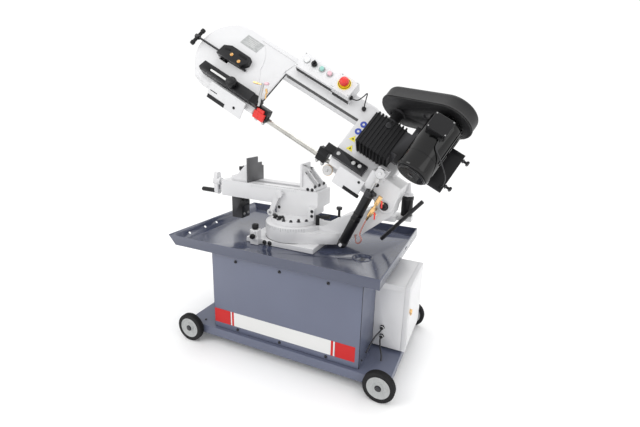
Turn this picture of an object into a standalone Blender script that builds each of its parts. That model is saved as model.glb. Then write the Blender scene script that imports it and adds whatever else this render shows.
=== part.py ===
"""Mobile metal-cutting band saw with a swivelling, raised bow.

The design frame is in millimetres: X runs to the operator's right, Y to the back and Z up from
the floor, with the middle of the wheeled platform at X = Y = 0.  MACHINE_SHIFT then moves the
whole machine so that the origin is the floor point under the middle of its overall box.

Three nested frames carry the pieces: the machine, the swivel arm (turns about the turret axis)
and the bow (lifts about the pivot).  The bow's casting leans back, so pieces bolted to it use a
fourth frame whose axes are x along the bow, y up the casting and z out of its front face.
"""

from math import cos, pi, radians, sin

import bmesh
import bpy
from mathutils import Matrix, Vector

MM = 0.001
GAP = 0.3  # between two pieces that touch, in millimetres

MACHINE_SHIFT = Vector((20.0, -36.0, 0.0))

# Platform, cabinet and tray
PLATFORM = ((-471, -259, 40), (471, 259, 78))
SHEET = 3.0
WHEEL_RADIUS = 62.5
WHEEL_WIDTH = 26.0
WHEEL_X = 438.0
WHEEL_INNER_Y = 263.5
AXLE_RADIUS = 8.0
CABINET = ((-332, -242, 78.3), (346, 242, 433))
TRAY_FLOOR = 433.3
TRAY_RIM = 475.0
TRAY_X = (-511.0, 411.0)
TRAY_Y = (-262.0, 368.0)
TRAY_FLARE = 37.0
DRAIN = (262.0, -20.0)
DRAIN_RADIUS = 40.0
BOX = ((346.3, -80, 89), (464.7, 190, 376))
DOOR_X = (465.0, 485.0)

# Turret, swivel arm and vise
TURRET = Vector((-94.0, 42.0, 0.0))
BASE_TOP = 461.0
ARM_TOP = 528.0
FLANGE_TOP = 548.0
POST_RADIUS = 45.0
BED_X = (-515.0, 12.0)
BED_Y = (54.0, 190.0)
BED_Z = (590.0, 668.0)
JAW_TOP = 786.0
FIXED_FACE_X = -80.0
MOVING_FACE_X = -360.0
SCREW_Y = 122.0
SCREW_Z = 640.0
SCREW_RADIUS = 9.0
CRANK_X = (-608.0, -586.0)

# Bow
PIVOT = Vector((337.0, 0.0, 667.0))
REST_LIFT = radians(27)
LEAN = radians(34)
BLADE_Y = 42.0
BLADE_U = 8.0
BLADE_LENGTH = 2360.0
BLADE_WIDTH = 20.0
BLADE_HALF = 0.8
BAND_RADIUS = 115.0
DRIVE = (-178.0, 150.0)
WHEEL_GAP = BLADE_LENGTH / 2 - pi * BAND_RADIUS
IDLER = (DRIVE[0] - WHEEL_GAP, DRIVE[1])
BAND_N = -40.0
CASTING_BACK = -78.0
BELT_DECK = 340.0
WORM_AXIS = (-163.0, 78.0)
MOTOR_AXIS = (33.0, 204.0)
MOTOR_RADIUS = 66.0

HOUSING = (-985.0, 180.0)
THROAT_X = (-713.0, -312.0)
HOUSING_WALL_X = -868.0
FACE_PLATE = 11.0
EAR_OUTER = (0.0, 128.0)
EAR_INNER = (20.0, 108.0)
PIN_RADIUS = 14.0
HINGE_D = 352.0

# Hydraulic cylinder
BARREL_LENGTH = 262.0
ROD_RADIUS = 8.0
CYLINDER_FOOT = Vector((172.0, -28.0, 487.0))
ROD_EYE = Vector((318.0, -28.0, 800.0))

# Coolant taps beside the cylinder
TAPS_LOW = Vector((282.0, -60.0, 616.0))
TAPS_HIGH = Vector((333.0, -60.0, 715.0))


# ---------------------------------------------------------------- materials and frames


def material(name, colour, roughness, metallic=0.0):
    made = bpy.data.materials.new(name)
    made.use_nodes = True
    shader = made.node_tree.nodes["Principled BSDF"]
    shader.inputs["Base Color"].default_value = (*colour, 1)
    shader.inputs["Roughness"].default_value = roughness
    shader.inputs["Metallic"].default_value = metallic
    made.diffuse_color = (*colour, 1)
    return made


FINISHES = {
    "blue_grey": ((0.16, 0.18, 0.26), 0.35, 0.0),
    "white": ((0.82, 0.82, 0.81), 0.35, 0.0),
    "black": ((0.02, 0.02, 0.022), 0.4, 0.0),
    "dark_casting": ((0.035, 0.035, 0.035), 0.6, 0.1),
    "steel": ((0.55, 0.55, 0.54), 0.3, 1.0),
    "chrome": ((0.75, 0.75, 0.76), 0.12, 1.0),
    "brass": ((0.78, 0.55, 0.25), 0.3, 1.0),
    "rubber": ((0.03, 0.03, 0.03), 0.8, 0.0),
    "rim": ((0.6, 0.61, 0.62), 0.45, 0.0),
    "red": ((0.72, 0.03, 0.02), 0.35, 0.0),
    "yellow": ((0.9, 0.65, 0.03), 0.4, 0.0),
    "green": ((0.25, 0.6, 0.5), 0.35, 0.0),
    "plastic": ((0.05, 0.05, 0.05), 0.5, 0.0),
    "hose": ((0.75, 0.5, 0.48), 0.25, 0.0),
}


def frame(name, parent=None, place=(0, 0, 0), turn=(0, 0, 0)):
    empty = bpy.data.objects.new(name, None)
    bpy.context.scene.collection.objects.link(empty)
    empty.parent = parent
    empty.location = Vector(place) * MM
    empty.rotation_euler = turn
    return empty


# ---------------------------------------------------------------- shapes, all in millimetres


def block(low, high):
    shape = bmesh.new()
    size = Vector(high) - Vector(low)
    bmesh.ops.create_cube(shape, size=1)
    bmesh.ops.scale(shape, verts=shape.verts, vec=size)
    bmesh.ops.translate(shape, verts=shape.verts, vec=(Vector(high) + Vector(low)) / 2)
    return shape


def prism(outline, low, high, along="z"):
    """The outline pushed from low to high.  Its two coordinates are the other two axes, in x, y, z
    order, apart from along y, where the outline is (x, z)."""
    place = {
        "x": lambda a, b, c: (c, a, b),
        "y": lambda a, b, c: (a, c, b),
        "z": lambda a, b, c: (a, b, c),
    }[along]
    shape = bmesh.new()
    ends = [[shape.verts.new(place(a, b, c)) for a, b in outline] for c in (low, high)]
    shape.faces.new(ends[0])
    shape.faces.new(ends[1])
    count = len(outline)
    for i in range(count):
        j = (i + 1) % count
        shape.faces.new((ends[0][i], ends[0][j], ends[1][j], ends[1][i]))
    bmesh.ops.recalc_face_normals(shape, faces=shape.faces)
    return shape


def arc(centre, radius, start, end, steps):
    """Points on an arc, with the angles in degrees, counter-clockwise when end is larger."""
    angles = [radians(start + (end - start) * i / steps) for i in range(steps + 1)]
    return [(centre[0] + radius * cos(a), centre[1] + radius * sin(a)) for a in angles]


def stadium(first, second, radius, steps=10):
    """The outline round two equal discs."""
    lean = Vector((second[0] - first[0], second[1] - first[1]))
    angle = lean.angle_signed(Vector((1, 0))) * 180 / pi
    return arc(second, radius, angle - 90, angle + 90, steps) + arc(
        first, radius, angle + 90, angle + 270, steps
    )


def rod(start, end, radius, sides=16, end_radius=None):
    """A cylinder or cone between two points."""
    start, end = Vector(start), Vector(end)
    span = end - start
    shape = bmesh.new()
    bmesh.ops.create_cone(
        shape,
        cap_ends=True,
        segments=sides,
        radius1=radius,
        radius2=radius if end_radius is None else end_radius,
        depth=span.length,
    )
    turn = span.to_track_quat("Z", "Y").to_matrix().to_4x4()
    bmesh.ops.transform(
        shape, verts=shape.verts, matrix=Matrix.Translation((start + end) / 2) @ turn
    )
    return shape


def ring(centre, axis, radius, hole, low, high, sides=32):
    """A flat ring whose axis is x, y or z, from low to high along it."""
    shape = bmesh.new()
    loops = []
    for level, reach in ((low, hole), (low, radius), (high, radius), (high, hole)):
        loop = []
        for i in range(sides):
            a = 2 * pi * i / sides
            flat = (reach * cos(a), reach * sin(a))
            spot = {
                "x": (level, flat[0], flat[1]),
                "y": (flat[0], level, flat[1]),
                "z": (flat[0], flat[1], level),
            }[axis]
            loop.append(shape.verts.new(Vector(centre) + Vector(spot)))
        loops.append(loop)
    for k in range(4):
        inner, outer = loops[k], loops[(k + 1) % 4]
        for i in range(sides):
            j = (i + 1) % sides
            shape.faces.new((inner[i], inner[j], outer[j], outer[i]))
    bmesh.ops.recalc_face_normals(shape, faces=shape.faces)
    return shape


# ---------------------------------------------------------------- from shapes to objects


def make_object(name, shape, parent, origin=(0, 0, 0)):
    """Puts a shape, given in its parent's millimetres, into an object with its origin there."""
    bmesh.ops.translate(shape, verts=shape.verts, vec=-Vector(origin))
    bmesh.ops.scale(shape, verts=shape.verts, vec=(MM, MM, MM))
    mesh = bpy.data.meshes.new(name)
    shape.to_mesh(mesh)
    shape.free()
    mesh.shade_smooth()
    mesh.set_sharp_from_angle(angle=radians(35))
    made = bpy.data.objects.new(name, mesh)
    bpy.context.scene.collection.objects.link(made)
    made.parent = parent
    made.location = Vector(origin) * MM
    return made


def piece(name, finish, parent, shape, joins=(), cuts=(), origin=(0, 0, 0), then_joins=()):
    """One solid sub-part: a first shape with others joined to it, then others cut from it, and
    then more joined."""
    made = make_object(name, shape, parent, origin)
    colour, roughness, metallic = FINISHES[finish]
    made.data.materials.append(material(name + "_finish", colour, roughness, metallic))
    for step, tools in enumerate((joins, cuts, then_joins)):
        kind = "DIFFERENCE" if step == 1 else "UNION"
        for number, tool in enumerate(tools):
            helper = make_object(f"{name}.tool{step}{number}", tool, parent, origin)
            helper.hide_render = True
            helper.display_type = "WIRE"
            boolean = made.modifiers.new(helper.name, "BOOLEAN")
            boolean.operation = kind
            boolean.object = helper
    return made


def cut_also(made, tool, parent, origin=(0, 0, 0)):
    """A last cut through a finished piece with that origin."""
    helper = make_object(made.name + ".last", tool, parent, origin)
    helper.hide_render = True
    helper.display_type = "WIRE"
    boolean = made.modifiers.new(helper.name, "BOOLEAN")
    boolean.operation = "DIFFERENCE"
    boolean.object = helper


def cable(name, finish, parent, points, radius, spacing):
    """A round cable on one smooth curve through its route's points."""
    spots = [Vector(p) for p in points]
    ends = [spots[0] * 2 - spots[1], *spots, spots[-1] * 2 - spots[-2]]
    route = []
    for i in range(1, len(ends) - 2):
        before, here, there, after = ends[i - 1 : i + 3]
        steps = max(1, round((there - here).length / spacing))
        for k in range(steps):
            t = k / steps
            route.append(
                0.5
                * (
                    2 * here
                    + (there - before) * t
                    + (2 * before - 5 * here + 4 * there - after) * t**2
                    + (3 * here - before - 3 * there + after) * t**3
                )
            )
    route.append(spots[-1])
    curve = bpy.data.curves.new(name, "CURVE")
    curve.dimensions = "3D"
    curve.bevel_depth = radius * MM
    curve.bevel_resolution = 2
    curve.use_fill_caps = True
    spline = curve.splines.new("POLY")
    spline.points.add(len(route) - 1)
    for point, spot in zip(spline.points, route):
        point.co = (*(spot * MM), 1)
    made = bpy.data.objects.new(name, curve)
    bpy.context.scene.collection.objects.link(made)
    made.parent = parent
    colour, roughness, metallic = FINISHES[finish]
    curve.materials.append(material(name + "_finish", colour, roughness, metallic))
    return made


# ---------------------------------------------------------------- stand


def make_platform(machine):
    (x0, y0, z0), (x1, y1, z1) = PLATFORM
    hollow = block((x0 + SHEET, y0 + SHEET, z0 - 5), (x1 - SHEET, y1 - SHEET, z1 - SHEET))
    tip = WHEEL_INNER_Y + WHEEL_WIDTH + 6
    axles = [
        rod((x, -tip, WHEEL_RADIUS), (x, tip, WHEEL_RADIUS), AXLE_RADIUS)
        for x in (-WHEEL_X, WHEEL_X)
    ]
    piece(
        "base_platform", "blue_grey", machine, block(*PLATFORM), cuts=[hollow], then_joins=axles
    )


def make_wheels(machine):
    outer = WHEEL_INNER_Y + WHEEL_WIDTH
    for side, x in (("left", -WHEEL_X), ("right", WHEEL_X)):
        hub = (x, 0, WHEEL_RADIUS)
        for end, s in (("front", -1), ("rear", 1)):
            low, high = sorted((s * WHEEL_INNER_Y, s * outer))
            wheel = ring(hub, "y", WHEEL_RADIUS, AXLE_RADIUS + GAP, low, high)
            dish = ring(hub, "y", 43, 17, s * (outer - 6), s * (outer + 5), 32)
            middle = (x, s * (WHEEL_INNER_Y + outer) / 2, WHEEL_RADIUS)
            piece(f"wheel_{end}_{side}", "rubber", machine, wheel, cuts=[dish], origin=middle)


def make_cabinet(machine):
    (x0, y0, z0), (x1, y1, z1) = CABINET
    room = block((x0 + SHEET, y0 - 5, z0 + SHEET), (x1 - SHEET, y1 - SHEET, z1 + 5))
    lip = 14
    lips = [
        block((x0, y0, z0), (x0 + lip, y0 + SHEET, z1)),
        block((x1 - lip, y0, z0), (x1, y0 + SHEET, z1)),
    ]
    shell = block(*CABINET)
    piece("cabinet_shell", "blue_grey", machine, shell, cuts=[room], then_joins=lips)
    panel = block((x0 + 2, y0 - GAP - 2, z0 + 2), (x1 - 2, y0 - GAP, z1 - 4))
    piece("cabinet_front_panel", "blue_grey", machine, panel)


def make_tray(machine):
    (x0, x1), (y0, y1) = TRAY_X, TRAY_Y
    rise = TRAY_RIM - TRAY_FLOOR
    slope = TRAY_FLARE / rise
    outline = [(x0, TRAY_FLOOR), (x1, TRAY_FLOOR), (x1, TRAY_RIM), (x0 - TRAY_FLARE, TRAY_RIM)]
    floor, above = TRAY_FLOOR + SHEET, TRAY_RIM + 10
    inside = [
        (x0 + 4 - slope * SHEET, floor),
        (x1 - SHEET, floor),
        (x1 - SHEET, above),
        (x0 + 4 - slope * (above - TRAY_FLOOR), above),
    ]
    cuts = [prism(inside, y0 + SHEET, y1 - SHEET, "y")]
    cuts.append(rod((*DRAIN, TRAY_FLOOR - 5), (*DRAIN, floor + 5), DRAIN_RADIUS, 24))
    for y in (-160, -60, 20, 240):
        middle = Vector((x0 - TRAY_FLARE / 2 + 2, y, (TRAY_FLOOR + TRAY_RIM) / 2))
        out = Vector((-rise, 0, -TRAY_FLARE)).normalized() * 15
        cuts.append(rod(middle - out, middle + out, 6, 10))
    cuts.append(block((x1 - 10, 110, 452), (x1 + 5, 140, 460)))
    piece("drip_tray", "blue_grey", machine, prism(outline, y0, y1, "y"), cuts=cuts)


def make_control_box(machine):
    (x0, y0, z0), (x1, y1, z1) = BOX
    room = block((x0 + SHEET, y0 + SHEET, z0 + SHEET), (x1 + 5, y1 - SHEET, z1 - SHEET))
    glands = [rod((385, y0 + 1, z), (385, y0 - 12, z), 9, 12) for z in (178, 138)]
    piece("control_box", "white", machine, block(*BOX), joins=glands, cuts=[room])
    inset = 6
    pan = block(
        (DOOR_X[0] - 5, y0 + inset, z0 + inset), (DOOR_X[1] - SHEET, y1 - inset, z1 - inset)
    )
    hinge = (DOOR_X[0], y1, (z0 + z1) / 2)
    door = block((DOOR_X[0], y0, z0), (DOOR_X[1], y1, z1))
    piece("control_box_door", "white", machine, door, cuts=[pan], origin=hinge)
    spot = (DOOR_X[1] + GAP, y0 + 28, 262)
    out = (DOOR_X[1] + 10, spot[1], spot[2])
    tab = block((spot[0] + 3, spot[1] - 5, spot[2] - 16), (spot[0] + 8, spot[1] + 5, spot[2]))
    piece("door_latch", "brass", machine, rod(spot, out, 9), joins=[tab], origin=spot)


def make_coolant_tank(machine):
    low, high = (-300, -190, 82), (-40, 150, 230)
    hollow = block(
        (low[0] + SHEET, low[1] + SHEET, low[2] + SHEET), (high[0] - SHEET, high[1] - SHEET, 240)
    )
    x, y = -170, -20
    pump = [rod((x, y, 232), (x, y, 350), 52, 24), rod((x, y, 84), (x, y, 240), 36, 20)]
    tank = block(low, high)
    piece("coolant_tank", "blue_grey", machine, tank, cuts=[hollow], then_joins=pump)


def make_bed_base(machine):
    plate = block((-268, -90, TRAY_FLOOR + SHEET + GAP), (65, 185, BASE_TOP))
    x, y = TURRET.x, TURRET.y
    post = rod((x, y, BASE_TOP - 3), (x, y, ARM_TOP - GAP), POST_RADIUS, 32)
    side_lug = block((-235, -110, TRAY_FLOOR + SHEET + GAP), (-195, -80, 505))
    piece("bed_base", "white", machine, plate, joins=[post, side_lug])


# ---------------------------------------------------------------- vise


def make_vise_bed(machine):
    x, y = TURRET.x, TURRET.y
    low, high = BED_Z
    flange = rod((x, y, ARM_TOP + GAP), (x, y, FLANGE_TOP), 107, 40)
    joins = [
        block((-200, BED_Y[0], FLANGE_TOP - 2), (-14, BED_Y[1] - 10, low + 4)),
        block((BED_X[0], BED_Y[0], low), (BED_X[1], BED_Y[1], high)),
        block((-20, 20, FLANGE_TOP - 2), (BED_X[1], 60, 600)),
    ]
    slot = block((BED_X[0] - 5, 104, low + 12), (-110, 140, high + 5))
    guide = block((BED_X[0] + 14, 88, high - 26), (-120, 156, high - 12))
    under = block((BED_X[0] - 5, 62, low - 5), (-210, 98, high - 14))
    behind = block((BED_X[0] - 5, 146, low - 5), (-210, 182, high - 14))
    bearing = block((BED_X[0] - 10, 98, SCREW_Z - 18), (BED_X[0] + 4, 146, high - 4))
    bore = rod((BED_X[0] - 20, SCREW_Y, SCREW_Z), (BED_X[0] + 9, SCREW_Y, SCREW_Z), 9.5, 12)
    cuts = [slot, guide, under, behind]
    body = piece("vise_bed", "white", machine, flange, joins=joins, cuts=cuts, then_joins=[bearing])
    cut_also(body, bore, machine)


def jaw_outline(face_y, base, top):
    """The stepped jaw seen along the bed: full height in front, with two steps to the rear."""
    return [
        (face_y, base),
        (face_y + 132, base),
        (face_y + 132, top - 48),
        (face_y + 118, top - 48),
        (face_y + 118, top - 30),
        (face_y + 84, top - 30),
        (face_y + 84, top),
        (face_y, top),
    ]


def make_moving_jaw(machine):
    base = BED_Z[1] + GAP
    front = BED_Y[0] + 4
    plate = prism(jaw_outline(front, base, JAW_TOP), MOVING_FACE_X - 8, MOVING_FACE_X, "x")
    piece("moving_jaw_plate", "dark_casting", machine, plate, origin=(MOVING_FACE_X, front, base))
    back = MOVING_FACE_X - 8 - GAP
    top = JAW_TOP - 34
    wedge = [
        (back, base),
        (back, top),
        (back - 16, top),
        (back - 70, base + 26),
        (back - 100, base + 22),
        (back - 100, base),
    ]
    body = prism(wedge, front + 14, front + 116, "y")
    tongue = block((back - 80, 106, BED_Z[0] + 14), (back - 10, 138, base + 5))
    y, z, post_x = SCREW_Y, SCREW_Z, back - 78
    bore = rod((back - 120, y, z), (back + 20, y, z), SCREW_RADIUS + GAP)
    post_hole = rod((post_x, y, base + 10), (post_x, y, base + 60), 8 + GAP, 12)
    piece("moving_jaw", "white", machine, body, joins=[tongue], cuts=[bore, post_hole])
    top = base + 62
    stem = rod((post_x, y, base + 12), (post_x, y, top - 10), 8, 12)
    knob = rod((post_x, y, top - 18), (post_x, y, top), 11, 12)
    arm = rod((post_x, y, top - 7), (post_x + 34, y - 26, top + 8), 4, 8)
    spot = (post_x, y, base + 12)
    piece("jaw_clamp_lever", "black", machine, stem, joins=[knob, arm], origin=spot)


def make_fixed_jaw(machine):
    base = BED_Z[1] + GAP
    front, x = BED_Y[0] + 4, FIXED_FACE_X
    fixed = prism(jaw_outline(front, base, JAW_TOP + 2), x, x + 10, "x")
    rib = [(x + 8, base), (x + 70, base), (x + 70, base + 20), (x + 8, base + 88)]
    ribs = [prism(rib, y, y + 12, "y") for y in (front + 8, front + 52, front + 104)]
    foot = block((x + 5, front, base), (x + 78, front + 126, base + 14))
    piece("fixed_jaw", "white", machine, fixed, joins=[foot, *ribs])


def make_lead_screw(machine):
    (x0, x1), y, z = CRANK_X, SCREW_Y, SCREW_Z
    shaft = rod((x0 + 4, y, z), (-222, y, z), SCREW_RADIUS, 12)
    hub = rod((x0 - 6, y, z), (x1 + 14, y, z), 19, 20)
    bar = prism(stadium((y, z - 53), (y, z + 33), 15, 8), x0, x1, "x")
    grip = rod((x0 + 5, y, z - 53), (x0 - 84, y, z - 53), 11, 14)
    spot = (BED_X[0], y, z)
    piece("lead_screw_crank", "white", machine, shaft, joins=[hub, bar, grip], origin=spot)


def make_bed_support(machine):
    stand = block((-468, 70, 480), (-408, 130, BED_Z[0] - GAP))
    knob = rod((-395, 88, 560), (-395, 60, 560), 16, 8)
    neck = block((-412, 80, 548), (-384, 100, 572))
    piece("bed_support_block", "black", machine, stand, joins=[neck, knob])


def make_work_stop(machine):
    """A hanging arm whose ring carries the length-stop rod."""
    x, z = -178, 640
    y0, y1 = BED_Y[0] - 26, BED_Y[0] - GAP
    eye = (x - 42, z - 90)
    outline = [(x - 14, z + 12), (x + 14, z + 16), (eye[0] + 12, eye[1]), (eye[0] - 12, eye[1])]
    arm = prism(outline, y0 + 6, y1 - 8, "y")
    boss = rod((eye[0], y0, eye[1]), (eye[0], y1 - 4, eye[1]), 16, 20)
    clamp = rod((x, y0 + 4, z), (x, y1, z), 18, 16)
    hole = rod((eye[0], y0 - 5, eye[1]), (eye[0], y1 + 5, eye[1]), 7.5, 12)
    origin = (x, y1, z)
    piece("work_stop_arm", "white", machine, arm, joins=[boss, clamp], cuts=[hole], origin=origin)


# ---------------------------------------------------------------- swivel arm


def make_swivel_arm(swivel):
    """The turning arm, in a frame that stands on the turret axis."""
    disc = rod((0, 0, BASE_TOP + GAP), (0, 0, ARM_TOP), 132, 48)
    pivot = PIVOT - TURRET
    profile = [
        (60, BASE_TOP + GAP),
        (240, BASE_TOP + 3),
        (305, 500),
        (pivot.x + 30, 628),
        *arc((pivot.x, pivot.z), 36, -20, 140, 8),
        (pivot.x - 60, 640),
        (250, 590),
        (150, ARM_TOP),
        (60, ARM_TOP),
    ]
    front, back = EAR_INNER[0] + GAP - TURRET.y, EAR_INNER[1] - GAP - TURRET.y
    arm = prism(profile, front, back, "y")
    nose = prism([(60, -117), (215, -42), (235, front), (235, 60), (60, 117)], BASE_TOP + GAP, 510)
    bore = rod((0, 0, 400), (0, 0, 600), POST_RADIUS + GAP, 32)
    foot = CYLINDER_FOOT - TURRET
    ends = (-TURRET.y - 12, EAR_OUTER[1] - TURRET.y + 10)
    can = canister_place()
    added = [
        rod((foot.x, front + 5, foot.z), (foot.x, foot.y + 24, foot.z), 18, 16),
        rod((foot.x, front + 5, foot.z), (foot.x, foot.y - 27, foot.z), 7, 12),
        rod((pivot.x, ends[0], pivot.z), (pivot.x, ends[1], pivot.z), PIN_RADIUS, 20),
        rod((pivot.x, ends[0], pivot.z), (pivot.x, -TURRET.y - GAP, pivot.z), 17, 12),
        block(can + Vector((-90, -60, -24)), can + Vector((-35, 26, -GAP))),
        block(can + Vector((-50, -25, -23)), can + Vector((28, 25, -GAP - 1))),
    ]
    joins = [arm, nose]
    piece("swivel_arm", "white", swivel, disc, joins=joins, cuts=[bore], then_joins=added)


def make_swivel_lock(swivel):
    spot = Vector((121, -14, ARM_TOP + GAP))
    tip = spot + Vector((62, -8, 48))
    stem = rod(spot, spot + Vector((0, 0, 44)), 9, 14)
    arm = rod(spot + Vector((0, 0, 36)), tip, 6, 10)
    grip = rod(spot + Vector((22, -3, 40)), tip, 9, 12)
    piece("swivel_lock_lever", "black", swivel, stem, joins=[arm, grip], origin=spot)
    spot = Vector((206, 28, 567))
    stem = rod(spot, spot + Vector((0, 0, 40)), 6, 12)
    knob = rod(spot + Vector((0, 0, 34)), spot + Vector((0, 0, 46)), 13, 12)
    piece("swivel_stop_pin", "black", swivel, stem, joins=[knob], origin=spot)


def make_cylinder(swivel):
    foot, eye = CYLINDER_FOOT - TURRET, ROD_EYE - TURRET
    along = (eye - foot).normalized()
    top = foot + along * BARREL_LENGTH
    hole = rod(foot + Vector((0, -40, 0)), foot + Vector((0, 40, 0)), 7 + GAP, 12)
    bore = rod(foot + along * 60, top + along * 10, ROD_RADIUS + GAP, 16)
    collar = top - along * 24
    knob = rod(collar, collar + Vector((20, -20, 10)), 6, 8)
    barrel = rod(foot - along * 12, top, 20, 24)
    piece("lift_cylinder", "black", swivel, barrel, joins=[knob], cuts=[hole, bore], origin=foot)
    rod_low = foot + along * 150
    shaft = rod(rod_low, eye, ROD_RADIUS, 16)
    boss = rod(eye + Vector((0, -8, 0)), eye + Vector((0, 8, 0)), 19, 20)
    slot = rod(eye + Vector((0, -20, 0)), eye + Vector((0, 20, 0)), 13, 20)
    piece("lift_rod", "chrome", swivel, shaft, joins=[boss], cuts=[slot], origin=rod_low)


def canister_place():
    return PIVOT - TURRET + Vector((56, 160, -71))


def make_spring_canister(swivel):
    low = canister_place()
    can = rod(low - Vector((0, 0, 1)), low + Vector((0, 0, 74)), 25, 20)
    cap = rod(low + Vector((0, 0, 70)), low + Vector((0, 0, 84)), 27, 20)
    cone = rod(low + Vector((0, 0, 80)), low + Vector((0, 0, 134)), 15, 16, end_radius=7)
    piece("spring_canister", "black", swivel, can, joins=[cap, cone])


def make_coolant_taps(swivel):
    """A pipe with two taps, held off the arm's front by a bracket."""
    low, high = TAPS_LOW - TURRET, TAPS_HIGH - TURRET
    middle = low.lerp(high, 0.27)
    arm_face = EAR_INNER[0] - TURRET.y
    joins = [rod(middle, (middle.x, arm_face, middle.z), 5, 10)]
    for share in (0.35, 0.85):
        tap = low.lerp(high, share)
        joins.append(rod(tap - Vector((9, 0, 17)), tap + Vector((9, 0, 17)), 9, 8))
        joins.append(rod(tap, tap + Vector((22, -6, -8)), 4, 8))
    piece("coolant_taps", "brass", swivel, rod(low, high, 5, 10), joins=joins)


def make_support_bar(swivel):
    low, high = Vector((299, 118, 480)) - TURRET, Vector((466, 118, 676)) - TURRET
    piece("support_bar", "steel", swivel, rod(low, high, 9, 6))


# ---------------------------------------------------------------- bow


def leaned(shape):
    """From the casting's axes (x, up the casting, out of its face) to the bow's (x, y, up)."""
    turn = Matrix.Rotation(pi / 2 - LEAN, 3, "X")
    bmesh.ops.rotate(shape, cent=(0, 0, 0), matrix=turn, verts=shape.verts)
    return shape


def leaned_point(x, d, n):
    return Matrix.Rotation(pi / 2 - LEAN, 3, "X") @ Vector((x, d, n))


def casting_outline(left):
    """The C of the bow seen from its front, with the throat's left side at the given x."""
    return [
        (left, 8),
        (-1060, 8),
        *arc(HOUSING, 172, 222, 90, 12),
        (-700, 350),
        (-275, 344),
        (-262, 338),
        *arc((-190, 190), 148, 90, 0, 7),
        (-40, 75),
        (-95, 14),
        (-296, 14),
        (THROAT_X[1] + 2, 60),
        (THROAT_X[1], 251),
        (left, 251),
    ]


def make_bow_frame(bow):
    back, face = CASTING_BACK, -8
    body = leaned(prism(casting_outline(HOUSING_WALL_X), back, 0))
    front_plate = leaned(block((HOUSING_WALL_X - 20, 8, -FACE_PLATE), (THROAT_X[0], 260, 0)))
    pivot_box = prism(
        [(-120, 97), (20, 97), (34, 10), *arc((0, 0), 34, 0, -140, 8), (-120, 24)],
        EAR_OUTER[0],
        EAR_OUTER[1],
        "y",
    )
    pocket = BAND_RADIUS + 7
    cuts = [
        leaned(rod((*DRIVE, back - 5), (*DRIVE, face), pocket, 40)),
        leaned(prism(stadium(IDLER, (IDLER[0] - 12, IDLER[1]), pocket, 16), back - 5, face)),
        leaned(block((IDLER[0], 257, back - 6), (DRIVE[0], 334, face - 1))),
        leaned(block((IDLER[0], 22, back - 7), (HOUSING_WALL_X + 5, 56, face - 4))),
        leaned(block((-330, 18, back - 7), (DRIVE[0], 56, face - 2))),
        leaned(block((IDLER[0] - 24, 137, -20), (IDLER[0] + 24, 163, 5))),
        leaned(rod((*DRIVE, -20), (*DRIVE, 5), 18, 20)),
        block((-60, EAR_INNER[0], -60), (60, EAR_INNER[1], 46)),
        rod((0, -10, 0), (0, 140, 0), PIN_RADIUS + GAP, 20),
    ]
    eye = rod_pin_place()
    lug = rod(eye + Vector((0, -14, 0)), eye + Vector((0, 60, 0)), 6, 12)
    boss = block(eye + Vector((-22, 12, -30)), eye + Vector((22, 50, 20)))
    guard = block((-244, -4, -43), (-118, 1, 36))
    joins = [front_plate, pivot_box]
    added = [boss, lug, guard]
    piece("bow_frame", "white", bow, body, joins=joins, cuts=cuts, then_joins=added)


def rod_pin_place():
    """The rod eye's place in the bow's own frame."""
    return Matrix.Rotation(-REST_LIFT, 3, "Y") @ (ROD_EYE - PIVOT)


def make_rear_cover(bow):
    high = CASTING_BACK - GAP
    plate = leaned(prism(casting_outline(HOUSING_WALL_X), high - 3, high))
    line = (HINGE_D, high - 6)
    hinge = leaned_point(-600, *line)
    parts = [leaned(rod((x, *line), (x + 60, *line), 5, 10)) for x in (-930, -705)]
    parts.append(leaned(block((-560, 256, high - 16), (-500, 268, high - 1))))
    pivot_corner = block((-124, -10, -60), (60, EAR_OUTER[1] + 6, 101))
    cover = piece("rear_wheel_cover", "white", bow, plate, joins=parts, origin=hinge)
    cut_also(cover, pivot_corner, bow, hinge)


def band_wheel(name, bow, centre, shaft_low, shaft_high):
    low, high = BAND_N - 9, BAND_N + BLADE_WIDTH / 2 + 2.2
    rim = leaned(rod((*centre, low), (*centre, high), BAND_RADIUS - 1.3, 48))
    flange = leaned(rod((*centre, high - 0.2), (*centre, high + 3), BAND_RADIUS + 3, 48))
    shaft = leaned(rod((*centre, shaft_low), (*centre, shaft_high), 12, 16))
    dish = leaned(ring((*centre, 0), "z", BAND_RADIUS - 16, 26, low - 5, low + 9, 40))
    holes = [
        leaned(
            rod(
                (centre[0] + 68 * cos(a), centre[1] + 68 * sin(a), low - 5),
                (centre[0] + 68 * cos(a), centre[1] + 68 * sin(a), high + 9),
                20,
                14,
            )
        )
        for a in (pi / 4 + pi / 2 * i for i in range(4))
    ]
    origin = leaned_point(*centre, BAND_N)
    piece(name, "steel", bow, rim, joins=[flange, shaft], cuts=[dish, *holes], origin=origin)


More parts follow.
